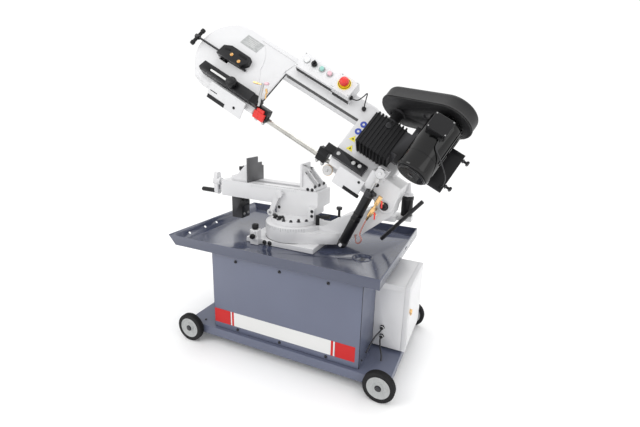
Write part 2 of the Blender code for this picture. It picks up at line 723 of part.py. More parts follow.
def blade_path():
    """Middle points of the band with its outward direction and its width direction."""
    rows = []
    wide = Vector((0, 0, 1))
    for i in range(19):
        a = radians(90 - 180 * i / 18)
        spot = Vector((DRIVE[0] + BAND_RADIUS * cos(a), DRIVE[1] + BAND_RADIUS * sin(a), BAND_N))
        rows.append((leaned_point(*spot), leaned_point(cos(a), sin(a), 0), leaned_point(*wide)))
    bottom = leaned_point(0, DRIVE[1] - BAND_RADIUS, BAND_N)
    cut = Vector((0, BLADE_Y, BLADE_U))

    def between(x, share):
        spot = bottom.lerp(cut, share)
        twist = share * (pi / 2 - LEAN)
        turn = Matrix.Rotation(-twist, 3, "X")
        out, width = turn @ leaned_point(0, -1, 0), turn @ leaned_point(*wide)
        return (Vector((x, spot.y, spot.z)), out, width)

    shares = [i / 6 for i in range(1, 7)]
    rows += [between(DRIVE[0] - s * 148, s) for s in shares]
    rows += [between(-500, 1.0)]
    rows += [between(-690 - (1 - s) * (-690 - IDLER[0] - 6), s) for s in reversed(shares)]
    for i in range(19):
        a = radians(270 - 180 * i / 18)
        spot = Vector((IDLER[0] + BAND_RADIUS * cos(a), IDLER[1] + BAND_RADIUS * sin(a), BAND_N))
        rows.append((leaned_point(*spot), leaned_point(cos(a), sin(a), 0), leaned_point(*wide)))
    return rows


def make_blade(bow):
    shape = bmesh.new()
    half = BLADE_WIDTH / 2
    loops = []
    for spot, out, width in blade_path():
        thick = BLADE_HALF
        corners = [(-thick, -half), (thick, -half), (thick, half), (-thick, half)]
        loops.append([shape.verts.new(spot + out * t + width * w) for t, w in corners])
    for i in range(len(loops)):
        here, there = loops[i], loops[(i + 1) % len(loops)]
        for k in range(4):
            j = (k + 1) % 4
            shape.faces.new((here[k], here[j], there[j], there[k]))
    bmesh.ops.recalc_face_normals(shape, faces=shape.faces)
    piece("saw_blade", "steel", bow, shape)


def make_tension(bow):
    n0, n1 = GAP, 30
    outline = [(-1030, 146), (-1026, 196), (-990, 214), (-880, 212), (-871, 182), (-897, 149)]
    slide = leaned(prism(outline, n0, n1))
    axle = leaned(rod((*IDLER, -24), (*IDLER, 4), 9, 12))
    hole = leaned(rod((-1040, 165, 16), (-990, 165, 16), 5 + GAP, 10))
    origin = leaned_point(*IDLER, 0)
    piece("tension_slide", "black", bow, slide, joins=[axle], cuts=[hole], origin=origin)
    screw = leaned(rod((-1176, 165, 16), (-1000, 165, 16), 5, 10))
    hub = leaned(rod((-1180, 165, 16), (-1161, 165, 16), 11, 14))
    bar = leaned(rod((-1170, 120, 16), (-1170, 210, 16), 8, 12))
    origin = leaned_point(-1170, 165, 16)
    piece("tension_handle", "black", bow, screw, joins=[hub, bar], origin=origin)


def guide_head(x0, x1, rollers):
    """A bridge over the blade with cheeks on both of its faces and rollers in front."""
    y, top = BLADE_Y, BLADE_U + BLADE_WIDTH / 2
    bridge = block((x0, y - 24, top + 6), (x1, 52, top + 34))
    inset = 1.0
    fronts = [
        block((x0 + inset, y - 23, -5), (x1 - inset, y - 5, top + 8)),
        block((x0 + inset, y + 4, 6), (x1 - inset, 51, top + 8)),
    ]
    wheels = [rod((x, y - 10, -5), (x, y - 10, 30), 7, 12) for x in rollers]
    return [bridge, *fronts, *wheels]


def make_left_guide(bow):
    bar = leaned(
        prism([(-1034, 42), (-1028, 80), (-735, 80), (-735, 34), (-1022, 34)], 8, 48)
    )
    slot = leaned(prism(stadium((-975, 58), (-850, 58), 7), 2, 60))
    foot = leaned(block((-800, 40, GAP), (-740, 74, 9)))
    origin = leaned_point(-885, 57, 28)
    mount = leaned(block((-740, 36, GAP), (-700, 78, 46)))
    parts = [foot, mount, *guide_head(-711, -648, (-699, -660))]
    piece("left_guide_arm", "black", bow, bar, joins=parts, cuts=[slot], origin=origin)
    knob = leaned(rod((-850, 58, 48 + GAP), (-850, 58, 66), 24, 24))
    stem = leaned(rod((-850, 58, GAP), (-850, 58, 50), 6, 12))
    origin = leaned_point(-850, 58, 50)
    piece("guide_arm_knob", "black", bow, knob, joins=[stem], origin=origin)
    guard = block((-955, -5, -45), (-752, -1.5, 32))
    piece("left_blade_guard", "white", bow, guard)


def make_right_guide(bow):
    bar = leaned(block((-299, 46, GAP), (-147, 90, 24)))
    slot = leaned(prism(stadium((-215, 72), (-175, 72), 5), 10, 60))
    mount = leaned(block((-344, 52, 2), (-290, 87, 21)))
    parts = [mount, *guide_head(-366, -318, (-356, -328))]
    piece("right_guide_arm", "black", bow, bar, joins=parts, cuts=[slot])
    spot = Vector((-284, 0, -14))
    wheel = rod(spot, spot + Vector((0, 12, 0)), 22, 20)
    hub = rod(spot + Vector((0, -6, 0)), spot + Vector((0, 32, 0)), 6, 12)
    piece("chip_brush", "steel", bow, wheel, joins=[hub], origin=spot)


def make_gearbox(bow):
    case = leaned(block((-236, 130, GAP), (-88, 275, 105)))
    x, n = WORM_AXIS
    tube = leaned(rod((x, 270, n), (x, BELT_DECK - 0.6, n), 23, 20))
    bore = leaned(rod((*DRIVE, -5), (*DRIVE, 30), 12 + GAP, 16))
    fins = [
        leaned(block((x, 124, 8), (x + 6, 290, 96))) for x in range(-230, -96, 16)
    ]
    piece("worm_gearbox", "dark_casting", bow, case, joins=[tube, *fins], cuts=[bore])


def make_motor(bow):
    x, n = MOTOR_AXIS
    body = leaned(rod((x, 97, n), (x, 334, n), MOTOR_RADIUS, 32))
    foot = leaned(block((x - 56, 150, 126.3), (x + 56, 270, n - 40)))
    box = leaned(block((x - 44, 236, n + 50), (x + 30, 300, n + 100)))
    bore = leaned(rod((x, 320, n), (x, 345, n), 11 + GAP, 16))
    gland = leaned(rod((x + 17, 238, n + 75), (x + 17, 226, n + 75), 8, 12))
    piece("motor", "black", bow, body, joins=[foot, box, gland], cuts=[bore])
    plate = leaned(block((-62, 128, 118), (150, 304, 126)))
    web = leaned(block((-87.7, 160, 20), (-62, 262, 126)))
    bolts = [leaned(rod((140, d, 122), (178, d, 122), 5, 10)) for d in (160, 282)]
    heads = [leaned(rod((172, d, 110), (172, d, 134), 6, 10)) for d in (160, 282)]
    piece("motor_mount", "black", bow, plate, joins=[web, *bolts, *heads])


def cover_outline(radius):
    return stadium(WORM_AXIS, MOTOR_AXIS, radius, 12)


def upright(outline, low, high):
    """A prism along the worm's direction from an (x, n) outline."""
    return leaned(prism(outline, low, high, "y"))


def make_belt_drive(bow):
    deck = BELT_DECK
    wx, wn = WORM_AXIS
    mx, mn = MOTOR_AXIS
    base = upright(cover_outline(90), deck, deck + 4)
    shafts = (WORM_AXIS, MOTOR_AXIS)
    holes = [leaned(rod((x, deck - 5, n), (x, deck + 9, n), 13, 16)) for x, n in shafts]
    piece("belt_cover_base", "black", bow, base, cuts=holes)
    cap = upright(cover_outline(90), deck + 4 + GAP, deck + 62)
    room = upright(cover_outline(87), deck, deck + 59)
    piece("belt_cover", "black", bow, cap, cuts=[room])
    worm = leaned(rod((wx, deck + 12, wn), (wx, deck + 34, wn), 58, 32))
    shaft = leaned(rod((wx, deck + 0.3, wn), (wx, deck + 44, wn), 11, 16))
    piece("worm_pulley", "steel", bow, worm, joins=[shaft], origin=leaned_point(wx, deck, wn))
    small = leaned(rod((mx, deck + 12, mn), (mx, deck + 34, mn), 30, 24))
    shaft = leaned(rod((mx, 322, mn), (mx, deck + 44, mn), 11, 16))
    piece("motor_pulley", "steel", bow, small, joins=[shaft], origin=leaned_point(mx, deck, mn))
    belt = upright(belt_outline(9), deck + 17, deck + 29)
    inside = upright(belt_outline(0.4), deck + 10, deck + 40)
    piece("drive_belt", "rubber", bow, belt, cuts=[inside])


def belt_outline(out):
    """Round the big and the small pulley, that far outside them."""
    big, small = 58 + out, 30 + out
    span = Vector((MOTOR_AXIS[0] - WORM_AXIS[0], MOTOR_AXIS[1] - WORM_AXIS[1]))
    angle = Vector((1, 0)).angle_signed(span) * -180 / pi
    tilt = 90 - 180 / pi * (big - small) / span.length
    return arc(MOTOR_AXIS, small, angle - tilt, angle + tilt, 12) + arc(
        WORM_AXIS, big, angle + tilt, angle + 360 - tilt, 20
    )


def make_controls(bow):
    panel = leaned(block((-682, 290, GAP), (-478, 372, 42)))
    holes = [leaned(rod((x, 338, 30), (x, 338, 60), 9 + GAP, 14)) for x in (-609, -567, -525)]
    lamp = leaned(rod((-650, 338, 40), (-650, 338, 48), 12, 16))
    piece("control_panel", "white", bow, panel, joins=[lamp], cuts=holes)
    knobs = [
        ("selector_switch", "black", -609, 15),
        ("start_button", "green", -567, 9),
        ("stop_button", "red", -525, 11),
    ]
    for name, finish, x, height in knobs:
        spot = leaned_point(x, 338, 42)
        stem = leaned(rod((x, 338, 34), (x, 338, 42 + height), 9, 14))
        piece(name, finish, bow, stem, origin=spot)
    box = leaned(block((-476, 282, GAP), (-386, 366, 62)))
    hole = leaned(rod((-436, 326, 40), (-436, 326, 80), 10 + GAP, 14))
    gland = leaned(rod((-380, 300, 36), (-390, 300, 36), 9, 12))
    disc = leaned(rod((-436, 326, 61), (-436, 326, 64), 29, 28))
    piece("stop_switch_box", "white", bow, box, joins=[gland, disc], cuts=[hole])
    spot = leaned_point(-436, 326, 64)
    stem = leaned(rod((-436, 326, 46), (-436, 326, 82), 10, 14))
    head = leaned(rod((-436, 326, 74), (-436, 326, 92), 19, 20, end_radius=15))
    piece("emergency_stop", "red", bow, stem, joins=[head], origin=spot)


# ---------------------------------------------------------------- cables and hose


def make_cables(machine, swivel, bow):
    gland = Vector((385, BOX[0][1] - 12 - GAP, 0))
    upper = [(0, 0, 178), (0, -16, 176), (-14, -40, 160), (-24, -66, 140), (-30, -100, 121)]
    lower = [(0, 0, 138), (1, -16, 136), (10, -40, 118), (22, -60, 98), (26, -74, 84)]
    for name, spots in (("box_cable_upper", upper), ("box_cable_lower", lower)):
        cable(name, "black", machine, [gland + Vector(spot) for spot in spots], 3, 8)
    loop = [
        (-379.7, 300, 36),
        (-366, 300, 37),
        (-350, 304, 44),
        (-336, 322, 58),
        (-330, 344, 60),
        (-326, 330, 40),
        (-322, 312, 18),
        (-318, 304, 3),
    ]
    lead = [
        (50, 225.7, 279),
        (51, 214, 278),
        (58, 197, 272),
        (95, 176, 250),
        (135, 156, 205),
        (143, 147, 160),
        (138, 146, 138),
        (138, 146, 126.3),
    ]
    for name, spots in (("stop_switch_cable", loop), ("motor_lead", lead)):
        cable(name, "black", bow, [leaned_point(*spot) for spot in spots], 2.5, 7)
    hose = [
        TAPS_LOW - Vector((0.2, 0, 0.3)),
        (275, -60, 601),
        (264, -60, 574),
        (258, -60, 550),
        (266, -60, 530),
        (255, -57, 512),
        (236, -38, 506),
        (224, -10, 511),
        (214, 8, 516),
        (214, 19.7, 516),
    ]
    spots = [Vector(spot) - TURRET for spot in hose]
    cable("coolant_hose", "hose", swivel, spots, 3, 7)


def main():
    for thing in list(bpy.data.objects):
        bpy.data.objects.remove(thing, do_unlink=True)
    machine = frame("machine_frame", place=MACHINE_SHIFT)
    make_platform(machine)
    make_wheels(machine)
    make_cabinet(machine)
    make_tray(machine)
    make_control_box(machine)
    make_coolant_tank(machine)
    make_bed_base(machine)
    make_vise_bed(machine)
    make_moving_jaw(machine)
    make_fixed_jaw(machine)
    make_lead_screw(machine)
    make_bed_support(machine)
    make_work_stop(machine)
    swivel = frame("swivel_axis", machine, TURRET)
    make_swivel_arm(swivel)
    make_swivel_lock(swivel)
    make_cylinder(swivel)
    make_spring_canister(swivel)
    make_support_bar(swivel)
    make_coolant_taps(swivel)
    bow = frame("bow_pivot", swivel, PIVOT - TURRET, (0, REST_LIFT, 0))
    make_bow_frame(bow)
    make_rear_cover(bow)
    band_wheel("drive_wheel", bow, DRIVE, BAND_N - 14, 25)
    band_wheel("idler_wheel", bow, IDLER, BAND_N - 14, -27.5)
    make_blade(bow)
    make_tension(bow)
    make_left_guide(bow)
    make_right_guide(bow)
    make_gearbox(bow)
    make_motor(bow)
    make_belt_drive(bow)
    make_controls(bow)
    make_cables(machine, swivel, bow)


main()
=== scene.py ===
"""Looks of the mobile metal-cutting band saw.

Lengths are in millimetres and go through one of three frames into metres: MACHINE (X right, Y back,
Z up), BOW (its pivot and its own slope) and CASTING (x along the bow, y up the leaning casting and
z out of its front face).
"""

from math import cos, pi, radians, sin

import bmesh
import bpy
from mathutils import Matrix, Vector


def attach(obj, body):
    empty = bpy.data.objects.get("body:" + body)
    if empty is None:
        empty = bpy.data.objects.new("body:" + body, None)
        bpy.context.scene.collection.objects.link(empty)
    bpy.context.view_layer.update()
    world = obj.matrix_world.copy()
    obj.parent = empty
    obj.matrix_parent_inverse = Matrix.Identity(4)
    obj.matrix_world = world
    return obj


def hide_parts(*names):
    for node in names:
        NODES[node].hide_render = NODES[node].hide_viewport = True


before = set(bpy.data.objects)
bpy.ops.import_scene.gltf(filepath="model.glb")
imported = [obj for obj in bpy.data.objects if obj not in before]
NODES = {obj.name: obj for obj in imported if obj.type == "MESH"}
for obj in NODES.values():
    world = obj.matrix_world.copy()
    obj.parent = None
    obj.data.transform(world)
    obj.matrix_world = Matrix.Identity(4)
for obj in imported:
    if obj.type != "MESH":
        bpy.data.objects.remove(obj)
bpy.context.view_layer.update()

MM = 0.001
SHIFT = Vector((20.0, -36.0, 0.0))
PIVOT = Vector((337.0, 0.0, 667.0))
REST_LIFT = radians(27)
LEAN = radians(34)
MACHINE = Matrix.Scale(MM, 4) @ Matrix.Translation(SHIFT)
BOW = MACHINE @ Matrix.Translation(PIVOT) @ Matrix.Rotation(REST_LIFT, 4, "Y")
CASTING = BOW @ Matrix.Rotation(pi / 2 - LEAN, 4, "X")

HOUSING = (-985.0, 180.0)
THROAT_X = (-713.0, -312.0)
DRIVE = (-178.0, 150.0)
IDLER = (-996.7, 150.0)
WORM_AXIS = (-163.0, 78.0)
MOTOR_AXIS = (33.0, 204.0)
PANEL_FRONT_Y = -244.3
TURRET = Vector((-94.0, 42.0, 0.0))
BLADE_Y = 42.0


# ---------------------------------------------------------------- materials


def finish(name, colour, rough, metal=0.0, vary=0.05, patch=14.0, grain=0.12, fine=900.0,
           coat=0.0, clear=0.0, shine=0.5, worn=None):
    """A surface whose colour, gloss and fine bump all vary with noise, lighter on worn edges."""
    made = bpy.data.materials.new(name)
    made.use_nodes = True
    tree = made.node_tree
    shader = tree.nodes["Principled BSDF"]
    shader.inputs["Metallic"].default_value = metal
    shader.inputs["Specular IOR Level"].default_value = shine
    shader.inputs["Coat Weight"].default_value = coat
    shader.inputs["Coat Roughness"].default_value = 0.12
    shader.inputs["Transmission Weight"].default_value = clear
    place = tree.nodes.new("ShaderNodeTexCoord").outputs["Object"]

    def noise(scale, detail):
        texture = tree.nodes.new("ShaderNodeTexNoise")
        texture.inputs["Scale"].default_value = scale
        texture.inputs["Detail"].default_value = detail
        tree.links.new(place, texture.inputs["Vector"])
        return texture.outputs["Fac"]

    ramp = tree.nodes.new("ShaderNodeValToRGB")
    ramp.color_ramp.elements[0].position = 0.3
    ramp.color_ramp.elements[1].position = 0.7
    for stop, share in zip(ramp.color_ramp.elements, (1 - vary, 1 + vary)):
        stop.color = (*(min(1.0, c * share) for c in colour), 1)
    tree.links.new(noise(patch, 4), ramp.inputs["Fac"])
    colour_out = ramp.outputs["Color"]
    if worn:
        edge = tree.nodes.new("ShaderNodeMapRange")
        edge.inputs["From Min"].default_value = 0.53
        edge.inputs["From Max"].default_value = 0.62
        pointed = tree.nodes.new("ShaderNodeNewGeometry").outputs["Pointiness"]
        tree.links.new(pointed, edge.inputs["Value"])
        mix = tree.nodes.new("ShaderNodeMix")
        mix.data_type = "RGBA"
        tree.links.new(edge.outputs["Result"], mix.inputs["Factor"])
        tree.links.new(colour_out, mix.inputs["A"])
        mix.inputs["B"].default_value = (*worn, 1)
        colour_out = mix.outputs["Result"]
    tree.links.new(colour_out, shader.inputs["Base Color"])

    gloss = tree.nodes.new("ShaderNodeMapRange")
    gloss.inputs["To Min"].default_value = max(0.03, rough - 0.08)
    gloss.inputs["To Max"].default_value = min(1.0, rough + 0.08)
    tree.links.new(noise(patch * 5, 5), gloss.inputs["Value"])
    tree.links.new(gloss.outputs["Result"], shader.inputs["Roughness"])

    bump = tree.nodes.new("ShaderNodeBump")
    bump.inputs["Strength"].default_value = grain
    bump.inputs["Distance"].default_value = MM
    tree.links.new(noise(fine, 3), bump.inputs["Height"])
    tree.links.new(bump.outputs["Normal"], shader.inputs["Normal"])
    return made


FINISH = {
    "blue_grey_paint": finish("blue_grey", (0.112, 0.126, 0.184), 0.36, vary=0.035, patch=5, coat=0.15,
                              grain=0.03, fine=420),
    "tray_paint": finish("tray_blue_grey", (0.056, 0.065, 0.106), 0.20, vary=0.04, patch=6, coat=0.6,
                         grain=0.03, fine=300),
    "white_paint": finish("white_enamel", (0.68, 0.68, 0.69), 0.32, vary=0.02, coat=0.3,
                          grain=0.05, fine=350),
    "white_casting": finish("white_cast", (0.67, 0.67, 0.68), 0.36, vary=0.025, coat=0.25,
                            grain=0.10, fine=240),
    "white_plastic": finish("white_moulding", (0.70, 0.70, 0.71), 0.42, vary=0.02, grain=0.05,
                            fine=1200),
    "black_paint": finish("black_enamel", (0.006, 0.006, 0.007), 0.34, grain=0.12, shine=0.25,
                          worn=(0.06, 0.06, 0.065)),
    "cover_black": finish("cover_black", (0.009, 0.009, 0.010), 0.46, grain=0.3, fine=700, shine=0.3,
                          worn=(0.06, 0.06, 0.06)),
    "motor_paint": finish("motor_black", (0.002, 0.002, 0.0022), 0.10, grain=0.02, coat=0.3, shine=0.25),
    "gearbox_casting": finish("gearbox_cast", (0.005, 0.005, 0.0055), 0.6, grain=0.5, fine=520, shine=0.2,
                              worn=(0.045, 0.045, 0.048)),
    "dark_casting": finish("cast_iron", (0.105, 0.105, 0.11), 0.45, metal=0.2, vary=0.25, patch=9,
                           grain=0.3, fine=600),
    "steel": finish("steel", (0.55, 0.55, 0.55), 0.28, metal=1, grain=0.1),
    "blade_steel": finish("blade_steel", (0.50, 0.49, 0.46), 0.30, metal=0.9, vary=0.12,
                          patch=30, grain=0.1),
    "chrome_rod": finish("chrome", (0.62, 0.62, 0.63), 0.16, metal=1, vary=0.02, grain=0.01),
    "brass": finish("brass", (0.80, 0.52, 0.24), 0.24, metal=1, vary=0.12, patch=60),
    "tyre_rubber": finish("tyre", (0.010, 0.010, 0.011), 0.72, vary=0.2, grain=0.4, fine=500, shine=0.3),
    "belt_rubber": finish("belt", (0.02, 0.02, 0.02), 0.8, vary=0.2, grain=0.5),
    "rim_plastic": finish("wheel_rim", (0.42, 0.43, 0.43), 0.42, vary=0.04, grain=0.15,
                          fine=600),
    "red_plastic": finish("red_button", (0.70, 0.020, 0.014), 0.34, vary=0.04, coat=0.4),
    "yellow_plastic": finish("yellow_disc", (0.90, 0.66, 0.02), 0.35, vary=0.04),
    "green_plastic": finish("green_button", (0.30, 0.58, 0.52), 0.25, vary=0.04, coat=0.4),
    "pink_plastic": finish("pink_button", (0.78, 0.50, 0.56), 0.25, vary=0.04, coat=0.4),
    "lamp_lens": finish("lamp_lens", (0.86, 0.87, 0.88), 0.12, vary=0.02, coat=0.8),
    "black_plastic": finish("black_moulding", (0.008, 0.008, 0.009), 0.40, grain=0.25, shine=0.3),
    "cable_sheath": finish("cable_black", (0.018, 0.018, 0.020), 0.45, grain=0.2),
    "clear_hose": finish("hose_pink", (0.52, 0.22, 0.19), 0.16, vary=0.1, clear=0.3, coat=0.5),
    "red_band": finish("band_red", (0.50, 0.002, 0.002), 0.55, vary=0.03, patch=3, grain=0.01),
    "white_band": finish("band_white", (0.68, 0.68, 0.67), 0.5, vary=0.015, patch=3, grain=0.01),
    "plate_grey": finish("plate_grey", (0.42, 0.43, 0.43), 0.38, metal=0.3, vary=0.15, patch=80),
    "sticker_blue": finish("sticker_blue", (0.035, 0.075, 0.42), 0.35, vary=0.05),
    "sticker_yellow": finish("sticker_yellow", (0.85, 0.74, 0.06), 0.35, vary=0.05),
    "shadow_gap": finish("shadow_gap", (0.010, 0.010, 0.012), 0.7, vary=0.2),
}


# ---------------------------------------------------------------- shapes, in millimetres


def block(low, high):
    shape = bmesh.new()
    bmesh.ops.create_cube(shape, size=1)
    bmesh.ops.scale(shape, verts=shape.verts, vec=Vector(high) - Vector(low))
    bmesh.ops.translate(shape, verts=shape.verts, vec=(Vector(high) + Vector(low)) / 2)
    return shape


def prism(outline, low, high, along="z"):
    place = {
        "x": lambda a, b, c: (c, a, b),
        "y": lambda a, b, c: (a, c, b),
        "z": lambda a, b, c: (a, b, c),
    }[along]
    shape = bmesh.new()
    ends = [[shape.verts.new(place(a, b, c)) for a, b in outline] for c in (low, high)]
    shape.faces.new(ends[0])
    shape.faces.new(ends[1])
    for i in range(len(outline)):
        j = (i + 1) % len(outline)
        shape.faces.new((ends[0][i], ends[0][j], ends[1][j], ends[1][i]))
    bmesh.ops.recalc_face_normals(shape, faces=shape.faces)
    return shape


def arc(centre, radius, start, end, steps):
    angles = [radians(start + (end - start) * i / steps) for i in range(steps + 1)]
    return [(centre[0] + radius * cos(a), centre[1] + radius * sin(a)) for a in angles]


def stadium(first, second, radius, steps=12):
    lean = Vector((second[0] - first[0], second[1] - first[1]))
    angle = lean.angle_signed(Vector((1, 0))) * 180 / pi
    return arc(second, radius, angle - 90, angle + 90, steps) + arc(
        first, radius, angle + 90, angle + 270, steps
    )


def turned(profile, start, end, sides=40, ring=False):
    """A solid of revolution from (distance from start, radius), with a hole where it is a ring."""
    start, end = Vector(start), Vector(end)
    turn = (end - start).to_track_quat("Z", "Y").to_matrix().to_4x4()
    shape = bmesh.new()
    loops = []
    for along, radius in profile:
        loops.append([
            shape.verts.new((radius * cos(2 * pi * i / sides), radius * sin(2 * pi * i / sides), along))
            for i in range(sides)
        ])
    for lower, upper in zip(loops, loops[1:] + loops[:1] if ring else loops[1:]):
        for i in range(sides):
            j = (i + 1) % sides
            shape.faces.new((lower[i], lower[j], upper[j], upper[i]))
    if not ring:
        shape.faces.new(loops[0][::-1])
        shape.faces.new(loops[-1])
    bmesh.ops.transform(shape, verts=shape.verts, matrix=Matrix.Translation(start) @ turn)
    bmesh.ops.recalc_face_normals(shape, faces=shape.faces)
    return shape


def rod(start, end, radius, sides=24, end_radius=None):
    length = (Vector(end) - Vector(start)).length
    last = radius if end_radius is None else end_radius
    ease = min(1.2, radius * 0.15, length * 0.2)
    profile = [(0, radius - ease), (ease, radius), (length - ease, last), (length, last - ease)]
    return turned(profile, start, end, sides)


def knob(start, end, radius, lobes=7):
    """A hand knob with finger lobes and a domed top."""
    axis = Vector(end) - Vector(start)
    turn = axis.to_track_quat("Z", "Y").to_matrix().to_4x4()
    shape = bmesh.new()
    sides = lobes * 6
    loops = []
    for share, reach in ((0, 0.8), (0.1, 1), (0.75, 1), (0.93, 0.86), (1, 0.6)):
        loop = []
        for i in range(sides):
            a = 2 * pi * i / sides
            r = radius * reach * (1 - 0.07 * (1 + cos(lobes * a)) / 2)
            loop.append(shape.verts.new((r * cos(a), r * sin(a), axis.length * share)))
        loops.append(loop)
    for lower, upper in zip(loops, loops[1:]):
        for i in range(sides):
            j = (i + 1) % sides
            shape.faces.new((lower[i], lower[j], upper[j], upper[i]))
    shape.faces.new(loops[0][::-1])
    shape.faces.new(loops[-1])
    bmesh.ops.transform(shape, verts=shape.verts, matrix=Matrix.Translation(Vector(start)) @ turn)
    return shape


def bolt(spot, axis, radius, height, socket=True):
    """A cap screw on a washer, with a hollow in its head."""
    spot, axis = Vector(spot), Vector(axis).normalized()
    washer = rod(spot, spot + axis * height * 0.22, radius * 1.5, 20)
    head_profile = [(0, radius), (height * 0.85, radius), (height, radius * 0.86)]
    if socket:
        head_profile += [(height, radius * 0.5), (height * 0.55, radius * 0.45)]
    head = turned(head_profile, spot, spot + axis * height, 20)
    return merged(washer, head)


def merged(*shapes):
    whole = bmesh.new()
    for shape in shapes:
        mesh = bpy.data.meshes.new("part")
        shape.to_mesh(mesh)
        shape.free()
        whole.from_mesh(mesh)
        bpy.data.meshes.remove(mesh)
    return whole


def smooth_route(points, steps):
    """Points on a smooth curve through the route's points."""
    spots = [Vector(p) for p in points]
    ends = [spots[0] * 2 - spots[1], *spots, spots[-1] * 2 - spots[-2]]
    route = []
    for i in range(1, len(ends) - 2):
        before, here, there, after = ends[i - 1 : i + 3]
        for k in range(steps):
            t = k / steps
            route.append(0.5 * (2 * here + (there - before) * t
                                + (2 * before - 5 * here + 4 * there - after) * t**2
                                + (3 * here - before - 3 * there + after) * t**3))
    route.append(spots[-1])
    return route


# ---------------------------------------------------------------- from shapes to pieces


def show(name, shape, space, body, look, round_edges=0.0, segments=3, sharp=35):
    """One visible piece of a body, from a shape in that frame's millimetres."""
    bmesh.ops.transform(shape, verts=shape.verts, matrix=space)
    mesh = bpy.data.meshes.new(name)
    shape.to_mesh(mesh)
    shape.free()
    mesh.shade_smooth()
    mesh.set_sharp_from_angle(angle=radians(sharp))
    made = bpy.data.objects.new(name, mesh)
    bpy.context.scene.collection.objects.link(made)
    mesh.materials.append(FINISH[look])
    if round_edges:
        soften(made, round_edges, segments, sharp)
    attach(made, body)
    return made


def soften(made, width, segments=3, angle=35):
    bevel = made.modifiers.new("round_edges", "BEVEL")
    bevel.width = width * MM
    bevel.segments = segments
    bevel.limit_method = "ANGLE"
    bevel.angle_limit = radians(angle)
    bevel.harden_normals = True


def carve(made, joins=(), cuts=(), space=MACHINE):
    """Joins shapes to a piece's mesh and cuts others out of it, once and for all."""
    helpers = []
    for kind, tools in (("UNION", joins), ("DIFFERENCE", cuts)):
        for tool in tools:
            bmesh.ops.transform(tool, verts=tool.verts, matrix=space)
            mesh = bpy.data.meshes.new("tool")
            tool.to_mesh(mesh)
            tool.free()
            helper = bpy.data.objects.new("tool", mesh)
            bpy.context.scene.collection.objects.link(helper)
            helpers.append(helper)
            change = made.modifiers.new("carve", "BOOLEAN")
            change.operation = kind
            change.object = helper
    bpy.context.view_layer.update()
    graph = bpy.context.evaluated_depsgraph_get()
    mesh = bpy.data.meshes.new_from_object(made.evaluated_get(graph))
    made.modifiers.clear()
    made.data = mesh
    mesh.shade_smooth()
    mesh.set_sharp_from_angle(angle=radians(35))
    for helper in helpers:
        bpy.data.objects.remove(helper)


def dress(node, look, round_edges=1.0, segments=2, angle=38):
    """A CAD node keeps its shape and gets its finish and softened edges."""
    thing = NODES[node]
    thing.data.materials.clear()
    thing.data.materials.append(FINISH[look])
    thing.data.shade_smooth()
    weld = thing.modifiers.new("weld", "WELD")
    weld.merge_threshold = 1e-5
    flat = thing.modifiers.new("flat_faces", "DECIMATE")
    flat.decimate_type = "DISSOLVE"
    flat.angle_limit = radians(0.5)
    soften(thing, round_edges, segments, angle)


def cord(name, points, space, body, radius, look, length_of):
    """A held lead: one open spline through its route."""
    route = smooth_route(points, 6)
    curve = bpy.data.curves.new(name, "CURVE")
    curve.dimensions = "3D"
    curve.bevel_depth = radius * MM
    curve.bevel_resolution = 4
    curve.use_fill_caps = True
    spline = curve.splines.new("POLY")
    spline.points.add(len(route) - 1)
    spots = [space @ spot for spot in route]
    for point, spot in zip(spline.points, spots):
        point.co = (*spot, 1)
    made = bpy.data.objects.new(name, curve)
    bpy.context.scene.collection.objects.link(made)
    curve.materials.append(FINISH[look])
    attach(made, body)
    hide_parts(length_of)


# ---------------------------------------------------------------- camera and cords


def make_camera():
    lens = bpy.data.cameras.new("camera")
    lens.lens = 21.26
    lens.sensor_width = 36
    lens.shift_x = -0.039
    lens.shift_y = -0.0195
    lens.clip_start = 0.05
    camera = bpy.data.objects.new("camera", lens)
    bpy.context.scene.collection.objects.link(camera)
    right = Vector((0.9262, 0.3745, 0.0431))
    up = Vector((-0.1332, 0.2181, 0.9668))
    back = Vector((0.3527, -0.9012, 0.2519))
    turn = Matrix((right, up, back)).transposed().to_4x4()
    camera.matrix_world = Matrix.Translation((0.7405, -1.457, 1.0604)) @ turn
    bpy.context.scene.camera = camera


def make_cords():
    gland = Vector((385, -92.3, 0))
    upper = [(0, 0, 178), (0, -16, 176), (-14, -40, 160), (-24, -66, 140), (-30, -100, 121)]
    lower = [(0, 0, 138), (1, -16, 136), (10, -40, 118), (22, -60, 98), (26, -74, 84)]
    for end, spots in (("upper", upper), ("lower", lower)):
        cord(f"box_lead_{end}", [gland + Vector(s) for s in spots], MACHINE, "stand", 3,
             "cable_sheath", f"box_cable_{end}")
    loop = [
        (-379.7, 300, 36), (-366, 300, 37), (-350, 304, 44), (-336, 322, 58),
        (-330, 344, 60), (-326, 330, 40), (-322, 312, 18), (-318, 304, 3),
    ]
    cord("switch_lead", loop, CASTING, "bow", 2.5, "cable_sheath", "stop_switch_cable")
    lead = [
        (50, 225.7, 279), (51, 214, 278), (58, 197, 272), (95, 176, 250),
        (135, 156, 205), (143, 147, 160), (138, 146, 138), (138, 146, 126.3),
    ]
    cord("motor_power_lead", lead, CASTING, "bow", 2.5, "cable_sheath", "motor_lead")
    hose = [
        (281.8, -60, 615.7), (275, -60, 601), (264, -60, 574), (258, -60, 550), (266, -60, 530),
        (255, -57, 512), (236, -38, 506), (224, -10, 511), (214, 8, 516), (214, 19.7, 516),
    ]
    cord("coolant_tube", hose, MACHINE, "swivel", 3, "clear_hose", "coolant_hose")


# ---------------------------------------------------------------- stand


